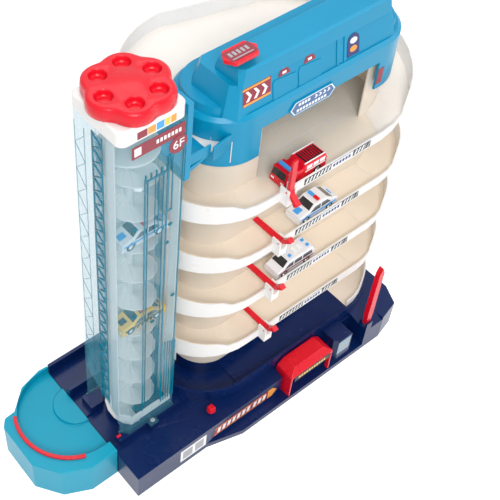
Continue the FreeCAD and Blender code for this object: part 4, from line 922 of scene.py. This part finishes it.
# floor, light and camera
studio = {"floorSize": 6.0, "floorDrop": 0.0002, "floorColor": (0.88, 0.88, 0.88, 1), "floorRoughness": 0.9,
          "floorLift": 0.5, "white": (1, 1, 1, 1), "worldLight": 0.5, "worldSeen": 1.0, "aim": (0, 0, 0.3)}
lights = {"keyLight": {"place": (-1.1, -1.5, 2.1), "size": 1.2, "power": 44},
          "fillLight": {"place": (1.6, -1.2, 1.3), "size": 1.4, "power": 12},
          "topLight": {"place": (0.2, 0.6, 2.4), "size": 1.8, "power": 18}}
photoView = {"place": (-0.622, -0.6515, 1.318), "down": 47.009, "turn": -37.432, "lens": 71.06, "sensor": 36,
             "shiftX": 0.235, "shiftY": -0.094, "farthest": 50}


def seenFrom(tree):  # 1 for rays that come from the camera, a mirror or through glass
    path = tree.nodes.new("ShaderNodeLightPath")
    total = path.outputs["Is Camera Ray"]
    for way in ("Is Glossy Ray", "Is Transmission Ray"):
        both = tree.nodes.new("ShaderNodeMath")
        both.operation = "MAXIMUM"
        tree.links.new(total, both.inputs[0])
        tree.links.new(path.outputs[way], both.inputs[1])
        total = both.outputs[0]
    return total


def makeFloor():  # shows nearly white and keeps a soft shadow
    bm = bmesh.new()
    bmesh.ops.create_grid(bm, x_segments=1, y_segments=1, size=studio["floorSize"])
    mesh = bpy.data.meshes.new("studioFloor")
    bm.to_mesh(mesh)
    bm.free()
    floor = bpy.data.objects.new("studioFloor", mesh)
    floor.location.z = -studio["floorDrop"]
    scene.collection.objects.link(floor)
    material = bpy.data.materials.new("studioFloor")
    material.use_nodes = True
    tree = material.node_tree
    shader = tree.nodes["Principled BSDF"]
    shader.inputs["Base Color"].default_value = studio["floorColor"]
    shader.inputs["Roughness"].default_value = studio["floorRoughness"]
    shader.inputs["Emission Color"].default_value = studio["white"]
    lift = tree.nodes.new("ShaderNodeMath")
    lift.operation = "MULTIPLY"
    lift.inputs[1].default_value = studio["floorLift"]
    tree.links.new(seenFrom(tree), lift.inputs[0])
    tree.links.new(lift.outputs[0], shader.inputs["Emission Strength"])
    mesh.materials.append(material)


def makeWorld():
    world = bpy.data.worlds.new("studioWorld")
    scene.world = world
    world.use_nodes = True
    tree = world.node_tree
    back = tree.nodes["Background"]
    back.inputs["Color"].default_value = studio["white"]
    level = tree.nodes.new("ShaderNodeMapRange")
    level.inputs["To Min"].default_value = studio["worldLight"]
    level.inputs["To Max"].default_value = studio["worldSeen"]
    tree.links.new(seenFrom(tree), level.inputs["Value"])
    tree.links.new(level.outputs["Result"], back.inputs["Strength"])


def makeLights():
    for name, facts in lights.items():
        area = bpy.data.lights.new(name, "AREA")
        area.size = facts["size"]
        area.energy = facts["power"]
        holder = bpy.data.objects.new(name, area)
        holder.location = facts["place"]
        aim = Vector(studio["aim"]) - Vector(facts["place"])
        holder.rotation_euler = aim.to_track_quat("-Z", "Y").to_euler()
        scene.collection.objects.link(holder)


def makeCamera():  # stands where the photograph was taken from
    view = bpy.data.cameras.new("photoCamera")
    view.sensor_width = photoView["sensor"]
    view.lens = photoView["lens"]
    view.shift_x = photoView["shiftX"]
    view.shift_y = photoView["shiftY"]
    view.clip_end = photoView["farthest"]
    holder = bpy.data.objects.new("photoCamera", view)
    holder.location = photoView["place"]
    holder.rotation_euler = (math.radians(90 - photoView["down"]), 0, math.radians(photoView["turn"]))
    scene.collection.objects.link(holder)
    scene.camera = holder


makeFloor()
makeWorld()
makeLights()
makeCamera()
print("stage: studio")
